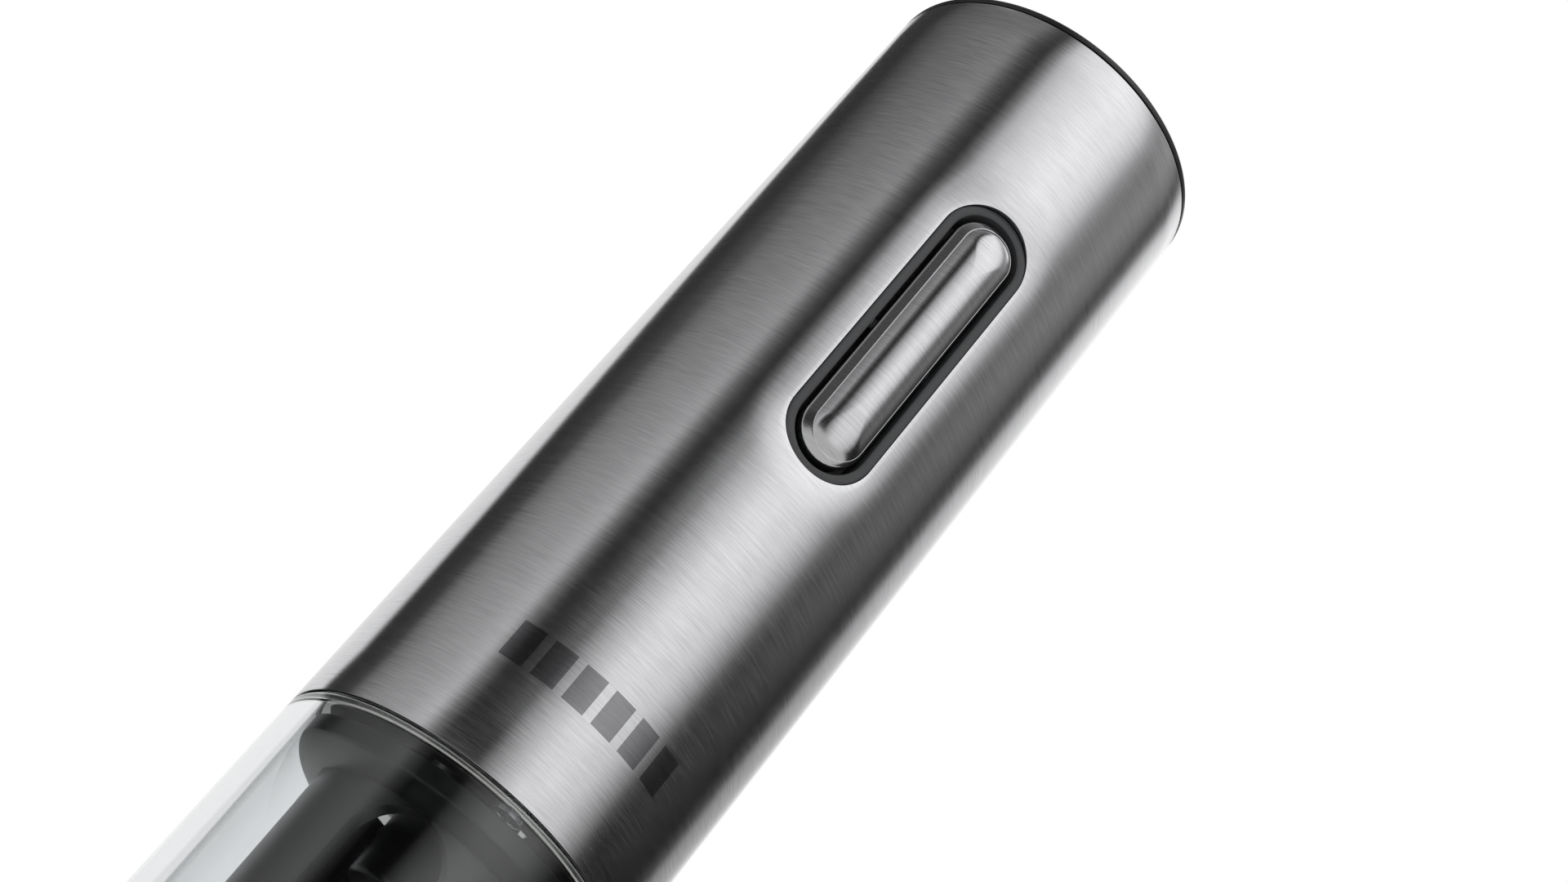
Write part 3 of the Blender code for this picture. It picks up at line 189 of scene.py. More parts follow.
# ---- body sleeve ---------------------------------------------------------------------------------------
# The body is a drawn stainless steel tube, 0.6 mm thick, brushed round and round on a lathe with an abrasive
# belt, so its lines run round the tube and every reflection is drawn out along it. A stadium-shaped hole is
# punched in its front for the button, and a plain row of bars is printed near its lower end.
def corners(node):
    """A CAD node's lowest and highest corner in millimetres."""
    low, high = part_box(node)
    return np.array(low) / MM, np.array(high) / MM


def grid_faces(rows, columns, rows_close=True, columns_close=True):
    """Faces between neighbours of a grid whose points are numbered row by row."""
    i, j = np.meshgrid(np.arange(rows if rows_close else rows - 1),
                       np.arange(columns if columns_close else columns - 1), indexing="ij")
    i, j = i.ravel(), j.ravel()
    down, right = (i + 1) % rows, (j + 1) % columns
    return np.stack([i * columns + j, down * columns + j, down * columns + right, i * columns + right], -1)


def round_axis(radius, angle, height):
    """Points at a radius from the tube's axis, an angle round it and a height."""
    return np.stack(np.broadcast_arrays(radius * np.cos(angle), radius * np.sin(angle), height), -1)


def pierced_tube(inner, outer, heights, columns, holes, margin=3.0, rings=5):
    """A tube with round-cornered holes. Its middle surface is a grid of angles and heights; near a hole the
    grid gives way to rings of faces that pass from the grid's outline to the hole's, whose points are the
    nearest ones on a rectangle with round corners. Each hole is its direction, centre height, half width,
    half height, and the radius of its lower and upper corners. The surface is then doubled into a wall."""
    middle = (inner + outer) / 2
    step = 2 * math.pi / columns
    seam = holes[0][0] - math.pi / len(holes)
    angle, height = (a.ravel() for a in np.meshgrid(np.arange(columns) * step, heights))
    keep = np.ones((len(heights) - 1, columns), bool)
    flat, patches = [np.stack([angle, height], -1)], []
    count = len(angle)
    for direction, centre, half_w, half_h, low_r, high_r in holes:
        at = direction - seam
        reach = math.asin(half_w / middle) + margin / middle
        c0, c1 = int((at - reach) / step), int((at + reach) / step) + 1
        r0 = max(np.searchsorted(heights, centre - half_h - margin, "right") - 1, 0)
        r1 = min(np.searchsorted(heights, centre + half_h + margin), len(heights) - 1)
        keep[r0:r1, c0:c1] = False
        across, up = np.arange(c0, c1), np.arange(r0, r1)
        row = np.concatenate([np.full(c1 - c0, r0), up, np.full(c1 - c0, r1), up[::-1] + 1])
        column = np.concatenate([across, np.full(r1 - r0, c1), across[::-1] + 1, np.full(r1 - r0, c0)])
        rim = np.stack([column * step, heights[row]], -1)
        x, z = middle * np.sin(rim[:, 0] - at), rim[:, 1] - centre
        radius = np.where(z > 0, high_r, low_r)
        cx = np.clip(x, radius - half_w, half_w - radius)
        cz = np.clip(z, low_r - half_h, half_h - high_r)
        away = np.hypot(x - cx, z - cz)
        edge = np.stack([np.arcsin((cx + radius * (x - cx) / away) / middle) + at,
                         cz + radius * (z - cz) / away + centre], -1)
        share = (np.arange(1, rings + 1) / rings)[:, None, None]
        flat.append((rim * (1 - share) + edge * share).reshape(-1, 2))
        loops = np.vstack([row * columns + column, count + np.arange(rings * len(rim)).reshape(rings, -1)])
        count += rings * len(rim)
        patches.append(np.stack([loops[:-1], np.roll(loops[:-1], -1, 1), np.roll(loops[1:], -1, 1), loops[1:]],
                                -1).reshape(-1, 4))
    level = grid_faces(len(heights), columns, rows_close=False)[:, [0, 3, 2, 1]][keep.ravel()]
    faces = np.concatenate([level, *patches])
    used, faces = np.unique(faces, return_inverse=True)
    faces = faces.reshape(-1, 4)
    angle, height = np.concatenate(flat)[used].T
    angle = angle + seam
    walls = [round_axis(radius, angle, height) for radius in (outer, inner)]
    n = len(used)
    a, b = faces.ravel(), np.roll(faces, -1, 1).ravel()
    open_edge = ~np.isin(a * n + b, b * n + a)
    a, b = a[open_edge], b[open_edge]
    return np.concatenate(walls), np.concatenate([faces, faces[:, ::-1] + n, np.stack([b, a, a + n, b + n], -1)])


def piece(name, shells, body, stands_for, look, edge=0.0, sharp=38.0):
    """Joins closed shells of points in mm and faces into one mesh at its place. Each shell's doubles are merged,
    so seams and poles close; sharp edges are rounded to the given width; and the piece rides on its body."""
    shape = bmesh.new()
    for points, faces in shells:
        mesh = bpy.data.meshes.new(name)
        mesh.from_pydata((np.asarray(points) * MM).tolist(), [], [list(map(int, face)) for face in faces])
        before = len(shape.verts)
        shape.from_mesh(mesh)
        bpy.data.meshes.remove(mesh)
        shape.verts.ensure_lookup_table()
        bmesh.ops.remove_doubles(shape, verts=shape.verts[before:], dist=0.0005 * MM)
    loose = [line for line in shape.edges if not line.link_faces]
    bmesh.ops.delete(shape, geom=loose, context="EDGES")
    bmesh.ops.recalc_face_normals(shape, faces=shape.faces)
    if edge:
        lines = [line for line in shape.edges
                 if line.is_manifold and line.calc_face_angle() > math.radians(sharp)]
        bmesh.ops.bevel(shape, geom=lines, offset=edge * MM, segments=2, profile=0.6, affect="EDGES",
                        clamp_overlap=True)
    mesh = bpy.data.meshes.new(name)
    shape.to_mesh(mesh)
    shape.free()
    mesh.shade_smooth()
    mesh.set_sharp_from_angle(angle=math.radians(sharp))
    mesh.materials.append(look)
    made = bpy.data.objects.new(name, mesh)
    scene.collection.objects.link(made)
    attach(made, body)
    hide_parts(*stands_for)


# Length round the tube and spacing in mm, the noise's detail, and lean in radians. The real lines are 0.1 mm
# apart; they are drawn coarser so that they show.
FINE_LINES = (4.0, 0.2, 4.0, 0.0)
TONE_BANDS = (30.0, 1.2, 2.0, 0.0)
SCRATCHES = (7.0, 0.16, 1.0, 0.10)
BRUSH_RELIEF = 0.003


def brushed_steel(name, colour, mark=None):
    """Stainless steel brushed round the tube: noise drawn out round it, and squeezed along Z. The lines spread a
    reflection along Z, so the tangent is Z and the gloss is anisotropic. A mark is a function from the tree to a
    mask of where dark print covers the steel."""
    made, tree, place = new_material(name)
    noises = []
    for length, gap, detail, lean in (FINE_LINES, TONE_BANDS, SCRATCHES):
        drawn = add(tree, "Mapping", {"Vector": place, "Rotation": (lean, 0.6 * lean, 0.0),
                                      "Scale": (1 / (length * MM), 1 / (length * MM), 1 / (gap * MM))})
        noises.append(add(tree, "TexNoise", {"Vector": drawn, "Scale": 1.0, "Detail": detail}))
    fine, broad, rare = noises
    deep = add(tree, "MapRange", {"Value": rare, "From Min": 0.70, "From Max": 0.80})
    tone = 0.74
    for noise, strength in ((fine, 0.48), (broad, 0.04), (deep, -0.14)):
        tone = add(tree, "Math", {0: noise, 1: strength, 2: tone}, operation="MULTIPLY_ADD")
    steel = add(tree, "Mix", {0: 1.0, 6: hex_colour(colour), 7: tone}, data_type="RGBA",
                blend_type="MULTIPLY").outputs[2]
    rough = add(tree, "Math", {0: fine, 1: 0.10, 2: 0.12}, operation="MULTIPLY_ADD")
    if mark:
        printed = add(tree, "Mix", {0: 1.0, 6: steel, 7: hex_colour("#a9a9ab")}, data_type="RGBA",
                      blend_type="MULTIPLY").outputs[2]
        steel = add(tree, "Mix", {0: mark(tree, place), 6: steel, 7: printed}, data_type="RGBA").outputs[2]
    bump = add(tree, "Bump", {"Height": fine, "Strength": 0.5, "Distance": BRUSH_RELIEF * MM})
    along = add(tree, "CombineXYZ", {"Z": 1.0})
    shader = add(tree, "BsdfPrincipled", {"Base Color": steel, "Metallic": 1.0, "Roughness": rough,
                                          "Anisotropic": 0.8, "Normal": bump, "Tangent": along})
    add(tree, "OutputMaterial", {0: shader})
    return made


BARS = 6
BAR_PITCH = 4.6
BAR_WIDTH = 3.3
BAR_HEIGHT = 5.4
BARS_DIRECTION = -92.5      # azimuth of the row's middle
BARS_ABOVE_EDGE = 15.6


def row_of_bars(tree, place):
    """A mask of equal upright bars: the distance round the tube is the angle times the radius, its share of a
    pitch picks the bar, and a bar is where that share and the height are both near a bar's middle."""
    axis = add(tree, "SeparateXYZ", {0: place})
    angle = add(tree, "Math", {0: axis.outputs["Y"], 1: axis.outputs["X"]}, operation="ARCTAN2")
    per_radian = TUBE_R / BAR_PITCH
    pitches = add(tree, "Math", {0: angle, 1: per_radian, 2: -math.radians(BARS_DIRECTION) * per_radian},
                  operation="MULTIPLY_ADD")
    shifted = add(tree, "Math", {0: pitches, 1: BARS / 2}, operation="ADD")
    share = add(tree, "Math", {0: shifted}, operation="FRACT")
    mask = 1.0
    for value, middle, reach in ((share, 0.5, BAR_WIDTH / BAR_PITCH / 2), (pitches, 0.0, BARS / 2),
                                 (axis.outputs["Z"], (STEEL_LOW + BARS_ABOVE_EDGE) * MM, BAR_HEIGHT / 2 * MM)):
        near = add(tree, "Math", {0: value, 1: middle, 2: reach}, operation="COMPARE")
        mask = add(tree, "Math", {0: mask, 1: near}, operation="MULTIPLY")
    return mask


SLEEVE_WALL = 0.6
HOLE_GAP = 0.3
DRAW_WIDTH = 5.0            # punching draws the steel in round the hole, over this width
DRAW_DEPTH = 0.3
BUTTON_FACES = math.radians(-90)
sleeve_low, sleeve_high = corners("body_sleeve")
bezel_low, bezel_high = corners("button_bezel")
TUBE_R = sleeve_high[0]
STEEL_LOW, STEEL_HIGH = sleeve_low[2], sleeve_high[2]
BUTTON_Z = (bezel_low[2] + bezel_high[2]) / 2
BEZEL_HALF_W = bezel_high[0]
BEZEL_HALF_L = bezel_high[2] - BUTTON_Z

hole_w = BEZEL_HALF_W + HOLE_GAP
hole_l = BEZEL_HALF_L + HOLE_GAP
fine_from, fine_to = BUTTON_Z - hole_l - DRAW_WIDTH, BUTTON_Z + hole_l + DRAW_WIDTH
levels = np.concatenate([np.linspace(STEEL_LOW, fine_from, 9)[:-1], np.linspace(fine_from, fine_to, 50),
                         np.linspace(fine_to, STEEL_HIGH, 6)[1:]])
points, faces = pierced_tube(TUBE_R - SLEEVE_WALL, TUBE_R, levels, 180,
                             [(BUTTON_FACES, BUTTON_Z, hole_w, hole_l, hole_w, hole_w)], DRAW_WIDTH, 8)
beyond_ends = np.maximum(np.abs(points[:, 2] - BUTTON_Z) - (hole_l - hole_w), 0)
from_hole = np.clip((np.hypot(points[:, 0], beyond_ends) - hole_w) / DRAW_WIDTH, 0, 1)
drawn_in = np.where(points[:, 1] < 0, DRAW_DEPTH * (1 - from_hole) ** 2, 0)
points[:, :2] *= (1 - drawn_in / TUBE_R)[:, None]
tube_steel = brushed_steel("brushed_stainless_tube", "#cfcfd1", row_of_bars)
piece("steel_sleeve", [(points, faces)], "housing", ["body_sleeve"], tube_steel, edge=0.1)


# ---- button bezel --------------------------------------------------------------------------------------
# A moulded black tub that is pushed into the sleeve's hole from inside. Its face is flat, so along its sides it
# is level with the steel and at its ends it lies 1 mm deep. Its mould is spark-eroded to a fine matt grain.
def stadium(radius, straight, arc=28, side=14):
    """An upright closed path with sides `straight` long each way from its middle and half-round ends, from the
    lower right anticlockwise; the second half is the first one turned half round."""
    up = np.linspace(-straight, straight, side, endpoint=False)
    sweep = np.linspace(0, math.pi, arc, endpoint=False)
    half = np.concatenate([np.stack([np.full(side, radius), up], -1),
                           np.stack([radius * np.cos(sweep), straight + radius * np.sin(sweep)], -1)])
    return np.concatenate([half, -half])


def rings_on_front(half_width, half_length, rows, hollow=False):
    """A form made of stadium rings on the opener's front. Each row is the ring's inset from the outline, its
    depth below the tube's front line, its shift to +X, and how much each end is drawn in. A hollow form's last
    row joins its first."""
    straight = half_length - half_width
    rings = []
    for inset, depth, shift, shorten in rows:
        x, z = stadium(max(half_width - inset, 0.0), straight - shorten).T
        rings.append(np.stack([x + shift, np.full_like(x, depth - TUBE_R), z + BUTTON_Z], -1))
    return np.concatenate(rings), grid_faces(len(rings), len(rings[0]), rows_close=hollow)


def pierced_plate(loops, front, back):
    """A flat plate across Y: its first loop is its outline and the others are holes. Triangles between the loops
    make its two sides, and walls join them."""
    flat = np.concatenate(loops)
    count = len(flat)
    sides = tessellate_polygon([[Vector((x, z, 0)) for x, z in loop] for loop in loops])
    faces = [*sides, *([k + count for k in reversed(face)] for face in sides)]
    start = 0
    for loop in loops:
        k = np.arange(len(loop))
        following = (k + 1) % len(loop)
        faces += (np.stack([k, following, following + count, k + count], -1) + start).tolist()
        start += len(loop)
    return np.concatenate([np.insert(flat, 1, y, axis=1) for y in (front, back)]), faces


def moulded_plastic(name, colour, roughness, grain, relief=0.004):
    """Injection-moulded plastic. A spark-eroded mould leaves a grain of the given size in mm, with its relief
    in mm; wide soft noise varies the gloss as handling does."""
    made, tree, place = new_material(name)
    grains = add(tree, "TexNoise", {"Vector": place, "Scale": 1 / (grain * MM), "Detail": 2.0})
    cloud = add(tree, "TexNoise", {"Vector": place, "Scale": 1 / (9 * MM), "Detail": 3.0})
    tone = add(tree, "Math", {0: cloud, 1: 0.20, 2: 0.90}, operation="MULTIPLY_ADD")
    shade = add(tree, "Mix", {0: 1.0, 6: hex_colour(colour), 7: tone}, data_type="RGBA",
                blend_type="MULTIPLY").outputs[2]
    rough = add(tree, "Math", {0: cloud, 1: 0.12, 2: roughness - 0.06}, operation="MULTIPLY_ADD")
    bump = add(tree, "Bump", {"Height": grains, "Strength": 0.6, "Distance": relief * MM})
    shader = add(tree, "BsdfPrincipled", {"Base Color": shade, "Roughness": rough, "IOR": 1.53, "Normal": bump})
    add(tree, "OutputMaterial", {0: shader})
    return made


BEZEL_RIM = 1.35
BEZEL_FIT = 0.2             # the rim's lip covers this much of the gap round it
LIP_LOW = 1.0               # the lip's lower side, below the bezel's face
TUB_DRAFT = 0.1             # the tub narrows by this towards its floor, so that it leaves the mould
TUB_FLOOR = 6.6
bezel_w, bezel_l = BEZEL_HALF_W + BEZEL_FIT, BEZEL_HALF_L + BEZEL_FIT
bezel_face = TUBE_R + bezel_low[1]
tub_back = TUBE_R + bezel_high[1]
bezel_rows = [(BEZEL_RIM + TUB_DRAFT, tub_back, 0, 0), (BEZEL_FIT + 0.3, tub_back, 0, 0),
              (BEZEL_FIT, tub_back - 0.3, 0, 0), (BEZEL_FIT, bezel_face + LIP_LOW + 0.2, 0, 0),
              (0, bezel_face + LIP_LOW, 0, 0),
              (0, bezel_face + 0.2, 0, 0), (0.06, bezel_face + 0.06, 0, 0), (0.2, bezel_face, 0, 0),
              (BEZEL_RIM - 0.25, bezel_face, 0, 0), (BEZEL_RIM - 0.08, bezel_face + 0.08, 0, 0),
              (BEZEL_RIM, bezel_face + 0.3, 0, 0), (BEZEL_RIM + TUB_DRAFT, TUB_FLOOR, 0, 0)]
floor_w = bezel_w - BEZEL_RIM
tub_loops = [stadium(floor_w, bezel_l - bezel_w)]
for plunger in ("plunger_upper", "plunger_lower"):
    plunger_low, plunger_high = corners(plunger)
    middle = (plunger_low + plunger_high) / 2
    tub_loops.append(stadium((plunger_high[0] - plunger_low[0]) / 2 + HOLE_GAP, 0, 16, 0)
                     + [middle[0], middle[2] - BUTTON_Z])
tub_points, tub_faces = pierced_plate(tub_loops, TUB_FLOOR - TUBE_R, tub_back - 0.02 - TUBE_R)
bezel_plastic = moulded_plastic("matt_black_abs", "#3f4042", 0.46, 0.12)
piece("button_surround", [rings_on_front(bezel_w, bezel_l, bezel_rows, hollow=True),
                          (tub_points + [0, 0, BUTTON_Z], tub_faces)],
      "housing", ["button_bezel"], bezel_plastic)


# ---- rocker button -------------------------------------------------------------------------------------
# The rocker's face is pressed from stainless sheet and brushed across, like the tube. A narrow flange slopes
# round a dome that is a round bar's arc across and stands in front of the tube. It is glued to a plastic carrier.
FLANGE_WIDTH = 0.95
FLANGE_FALL = 0.7           # how much deeper the flange's rim lies than its root
DOME_FOOT = 0.35            # depth of the dome's foot below the tube's front line
RIDGE_SHIFT = 0.45          # the pressing's ridge stands off its middle
DOME_END = 2.6              # the dome's ends slope this many times as gently as its sides
cap_low, cap_high = corners("rocker_cap")
rocker_half_w = cap_high[0]
rocker_half_l = (cap_high[2] - cap_low[2]) / 2
rocker_back = TUBE_R + cap_high[1]
dome_half = rocker_half_w - FLANGE_WIDTH
dome_rise = DOME_FOOT - (TUBE_R + cap_low[1])
dome_r = (dome_half ** 2 + dome_rise ** 2) / (2 * dome_rise)
tilt = np.linspace(math.asin(dome_half / dome_r), 0, 28)
flange_in = np.linspace(0, 1, 7)
rim_depth = DOME_FOOT + FLANGE_FALL
rocker_rows = [(rocker_half_w, rocker_back, 0, 0), (0, rocker_back, 0, 0), (0, rim_depth + 0.25, 0, 0),
               (0.07, rim_depth + 0.07, 0, 0)]
rocker_rows += [(0.15 + (FLANGE_WIDTH - 0.2) * t, rim_depth - FLANGE_FALL * t, RIDGE_SHIFT * t, 0)
                for t in flange_in]
for a in tilt:
    inset = rocker_half_w - dome_r * math.sin(a)
    rocker_rows.append((inset, DOME_FOOT - dome_rise + dome_r * (1 - math.cos(a)), RIDGE_SHIFT,
                        (inset - FLANGE_WIDTH) ** 2 / dome_half * (DOME_END - 1)))
rocker_steel = brushed_steel("brushed_stainless_pressing", "#c8c8ca")
piece("rocker_face", [rings_on_front(rocker_half_w, rocker_half_l, rocker_rows)], "rocker",
      ["rocker_cap"], rocker_steel)


# ---- top cap -------------------------------------------------------------------------------------------
# The twist-off battery cap is moulded in satin black ABS. Its rim covers the steel's upper end, its face is
# dished with two crescent hollows for the fingers, and a skirt goes down inside the frame. The skirt's two bayonet
# lugs are out of sight and aren't drawn.
def rounded(outline, steps):
    """Turns each corner (across, up, radius) of a closed outline into a curve: it leaves one side, bends through
    the corner's pull, and joins the next side, as a parabola's arc does."""
    outline = np.array(outline, float)
    corner, radius = outline[:, :2], outline[:, 2:]
    ends = []
    for shift in (1, -1):
        side = np.roll(corner, shift, 0) - corner
        length = np.linalg.norm(side, axis=1, keepdims=True)
        ends.append(corner + side / length * np.minimum(radius, 0.45 * length))
    t = np.linspace(0, 1, steps)[None, :, None]
    curve = (1 - t) ** 2 * ends[0][:, None] + 2 * t * (1 - t) * corner[:, None] + t ** 2 * ends[1][:, None]
    return curve.reshape(-1, 2)


def turned(outline, sides=128, centre=(0.0, 0.0), steps=5):
    """Rounds a closed (radius, height) outline and turns it about an upright axis: at angle a a point lies at
    radius times cos a and sin a from the centre."""
    angle = np.arange(sides) * 2 * math.pi / sides
    radius, height = rounded(outline, steps).T
    points = round_axis(radius, angle[:, None], height) + [centre[0], centre[1], 0.0]
    return points.reshape(-1, 3), grid_faces(sides, len(height))


def polar(points):
    return np.hypot(points[:, 0], points[:, 1]), np.arctan2(points[:, 1], points[:, 0])


def smooth_step(value, low, high):
    """0 below low, 1 above high, and an even S-shaped rise between."""
    t = np.clip((value - low) / (high - low), 0, 1)
    return t * t * (3 - 2 * t)


RIM_HEIGHT = 1.0
RIM_WIDTH = 2.4
FRAME_GAP = 0.3
LUG_REACH = 2.1
SKIRT_WALL = 1.2
PLATE_WALL = 3.0
DISH_DEPTH = 0.6
DISH_STEP = 0.5             # the dish has a ring of points at each step, for the hollows
HOLLOW_DEPTH = 1.2
HOLLOW_FROM, HOLLOW_TO = 7.0, 15.0
HOLLOW_HALF_ANGLE = 50.0
top_low, top_high = corners("top_cap")
top_z = top_high[2]
rim_z = top_z - RIM_HEIGHT
frame_out = TUBE_R - SLEEVE_WALL - FRAME_GAP
skirt_out = frame_out - LUG_REACH
skirt_in = skirt_out - SKIRT_WALL
plate_z = rim_z - PLATE_WALL
dish_r = TUBE_R - RIM_WIDTH - 1.0
dish = [(dish_r - DISH_STEP * k, top_z - DISH_DEPTH, 0) for k in range(int(dish_r / DISH_STEP))]
cap_outline = [(0, plate_z, 0), (skirt_in, plate_z, 0), (skirt_in, top_low[2], 0.3), (skirt_out, top_low[2], 0.3),
               (skirt_out, plate_z, 0), (frame_out, plate_z, 0.2), (frame_out, rim_z, 0), (TUBE_R, rim_z, 0.1),
               (TUBE_R, top_z, 0.45), (TUBE_R - RIM_WIDTH, top_z, 0.3),
               (TUBE_R - RIM_WIDTH - DISH_DEPTH, top_z - DISH_DEPTH, 0.5),
               *dish, (0, top_z - DISH_DEPTH, 0)]
cap_points, cap_faces = turned(cap_outline, 192)
radius, angle = polar(cap_points)
off_middle = np.abs(np.abs(np.degrees(angle)) - 90)
hollow = (smooth_step(radius, HOLLOW_FROM, HOLLOW_FROM + 1) * smooth_step(-radius, -HOLLOW_TO, 1 - HOLLOW_TO)
          * smooth_step(-off_middle, -HOLLOW_HALF_ANGLE, 5 - HOLLOW_HALF_ANGLE))
cap_points[:, 2] -= HOLLOW_DEPTH * hollow * (cap_points[:, 2] > rim_z)
satin_black = moulded_plastic("satin_black_abs", "#161718", 0.34, 0.10, 0.001)
piece("battery_cap", [(cap_points, cap_faces)], "top_cap", ["top_cap"], satin_black)


# ---- clear shell ---------------------------------------------------------------------------------------
# The cork chamber is a thick clear tube, turned and polished from extruded acrylic or moulded in clear SAN.
# Its ends step down to spigots that push into the foil cutter and into the steel tube.
def clear_plastic(name):
    """Clear polished plastic, faintly grey, with fine scuffs that show in the gloss."""
    made, tree, place = new_material(name)
    scuff = add(tree, "TexNoise", {"Vector": place, "Scale": 1 / (1.5 * MM), "Detail": 5.0})
    rough = add(tree, "MapRange", {"Value": scuff, "From Min": 0.45, "From Max": 0.75, "To Max": 0.06})
    shader = add(tree, "BsdfPrincipled", {"Base Color": hex_colour("#f3f5f6"), "Roughness": rough, "IOR": 1.57,
                                          "Specular IOR Level": 1.0, "Transmission Weight": 1.0})
    add(tree, "OutputMaterial", {0: shader})
    return made


CLEAR_WALL = 3.5
SPIGOT = 8.3
FOOT_STEP = 1.8
clear_low, clear_high = corners("clear_shell")
clear_in = TUBE_R - CLEAR_WALL
foot_z, neck_z = clear_low[2] + SPIGOT, clear_high[2] - SPIGOT
foot_out = TUBE_R - FOOT_STEP
clear_outline = [(clear_in, clear_low[2], 0.3), (foot_out, clear_low[2], 0.4), (foot_out, foot_z, 0.1),
                 (TUBE_R, foot_z, 0.7), (TUBE_R, neck_z, 0.5), (frame_out, neck_z, 0.1),
                 (frame_out, clear_high[2], 0.3), (clear_in, clear_high[2], 0.2)]
piece("cork_chamber", [turned(clear_outline, 160, steps=6)], "housing", ["clear_shell"],
      clear_plastic("clear_polished_san"), sharp=50)


# ---- cork cage -----------------------------------------------------------------------------------------
# A black moulded cage inside the clear tube centres the bottle's neck. It has a collar for the bottle's lip, a
# flange under the gearbox, four tall windows with round tops, and a rib between each two that guides the worm's
# follower.
def box(half_x, low, high, y0, y1, turn):
    """A block with its ends at radii y0 and y1 along a direction, and half_x wide each way across it."""
    x, y, z = (a.ravel() for a in np.meshgrid((-half_x, half_x), (y0, y1), (low, high), indexing="ij"))
    points = np.stack([y * math.cos(turn) - x * math.sin(turn), y * math.sin(turn) + x * math.cos(turn), z], -1)
    return points, [(0, 1, 3, 2), (4, 6, 7, 5), (0, 4, 5, 1), (2, 3, 7, 6), (0, 2, 6, 4), (1, 5, 7, 3)]


CAGE_IN = 14.2
CAGE_OUT = 16.4
COLLAR_HEIGHT = 11.0
COLLAR_STEP = 1.8
COLLAR_WALL = 2.0
LIP_DEPTH = 9.0
LIP_HEIGHT = 3.5
LIP_REACH = 1.6
FLANGE_HEIGHT = 2.7
RIB_HALF = 0.6
RIB_REACH = 1.0
WINDOW_ABOVE_LIP = 2.5
WINDOW_BELOW_TOP = 4.4
WINDOW_HALF_WIDTH = 6.0
WINDOW_TURNS = np.radians(-113.0 + 90.0 * np.arange(4))
cage_low, cage_high = corners("cork_guide")
collar_out = CAGE_OUT + COLLAR_STEP
collar_in = collar_out - COLLAR_WALL
collar_top = cage_low[2] + COLLAR_HEIGHT
lip_z = cage_low[2] + LIP_DEPTH
lip_top = lip_z + LIP_HEIGHT
window_low, window_high = lip_top + WINDOW_ABOVE_LIP, cage_high[2] - WINDOW_BELOW_TOP
flange_z = cage_high[2] - FLANGE_HEIGHT
cage_windows = [(turn, (window_low + window_high) / 2, WINDOW_HALF_WIDTH, (window_high - window_low) / 2, 0.8,
                 WINDOW_HALF_WIDTH) for turn in WINDOW_TURNS]
cage_levels = np.linspace(lip_top - 1.0, flange_z + 0.6, 58)
collar = [(collar_in, cage_low[2], 0.8), (collar_out, cage_low[2], 0.5), (collar_out, collar_top, 0.6),
          (CAGE_OUT + 0.02, collar_top + COLLAR_STEP, 0.5), (CAGE_OUT + 0.02, lip_top + 1.2, 0),
          (CAGE_IN - 0.02, lip_top + 1.2, 0), (CAGE_IN - 0.02, lip_top, 0), (CAGE_IN - LIP_REACH, lip_top, 0.4),
          (CAGE_IN - LIP_REACH, lip_z, 0.4), (collar_in, lip_z, 0.2)]
flange = [(CAGE_IN - 0.02, flange_z - 0.2, 0), (CAGE_OUT, flange_z - 1.5, 0.4), (cage_high[0], flange_z, 0.4),
          (cage_high[0], cage_high[2], 0.3), (CAGE_IN - 0.02, cage_high[2], 0.3)]
ribs = [box(RIB_HALF, lip_top - 0.5, cage_high[2] - 1.0, CAGE_IN - RIB_REACH, CAGE_IN + 0.4, turn + math.pi / 4)
        for turn in WINDOW_TURNS]
piece("cork_cage", [pierced_tube(CAGE_IN, CAGE_OUT, cage_levels, 128, cage_windows, margin=2.0, rings=3),
                    turned(collar), turned(flange), *ribs],
      "housing", ["cork_guide"], satin_black, edge=0.2)


# ---- worm guide ----------------------------------------------------------------------------------------
# A moulded follower keeps the worm's tip central and rides up on the cork: a rim with a notch for each of the
# cage's ribs, a hub with the worm's bore, and four spokes.
RIM_WALL = 2.2
GUIDE_GAP = 0.4
NOTCH_GAP = 0.35            # round each rib, at its sides
NOTCH_DEPTH = 0.3           # and in front of it
SPOKE_HALF = 1.2
HUB_R = 6.6
HUB_BORE = 4.9
guide_low, guide_high = corners("worm_guide")
guide_r = CAGE_IN - GUIDE_GAP
rim = [(guide_r - RIM_WALL, guide_low[2], 0.4), (guide_r, guide_low[2], 0.5), (guide_r, guide_high[2], 0.5),
       (guide_r - RIM_WALL, guide_high[2], 0.4)]
rim_points, rim_faces = turned(rim, 240)
radius, angle = polar(rim_points)
quarter = np.abs((angle - WINDOW_TURNS[0]) % (math.pi / 2) - math.pi / 4) * guide_r
notched = np.where(quarter < RIB_HALF + NOTCH_GAP, np.minimum(radius, CAGE_IN - RIB_REACH - NOTCH_DEPTH), radius)
rim_points[:, :2] *= (notched / radius)[:, None]
hub = [(HUB_BORE, guide_low[2] + 1.0, 0.5), (HUB_R, guide_low[2] + 1.0, 0.3), (HUB_R, guide_high[2] - 0.5, 0.6),
       (HUB_BORE, guide_high[2] - 0.5, 0.5)]
spokes = [box(SPOKE_HALF, guide_low[2] + 1.5, guide_high[2] - 1.5, HUB_R - 0.4, guide_r - 1.0, turn)
          for turn in WINDOW_TURNS]
piece("worm_follower", [(rim_points, rim_faces), turned(hub, 64), *spokes], "worm_guide", ["worm_guide"],
      satin_black, edge=0.2)


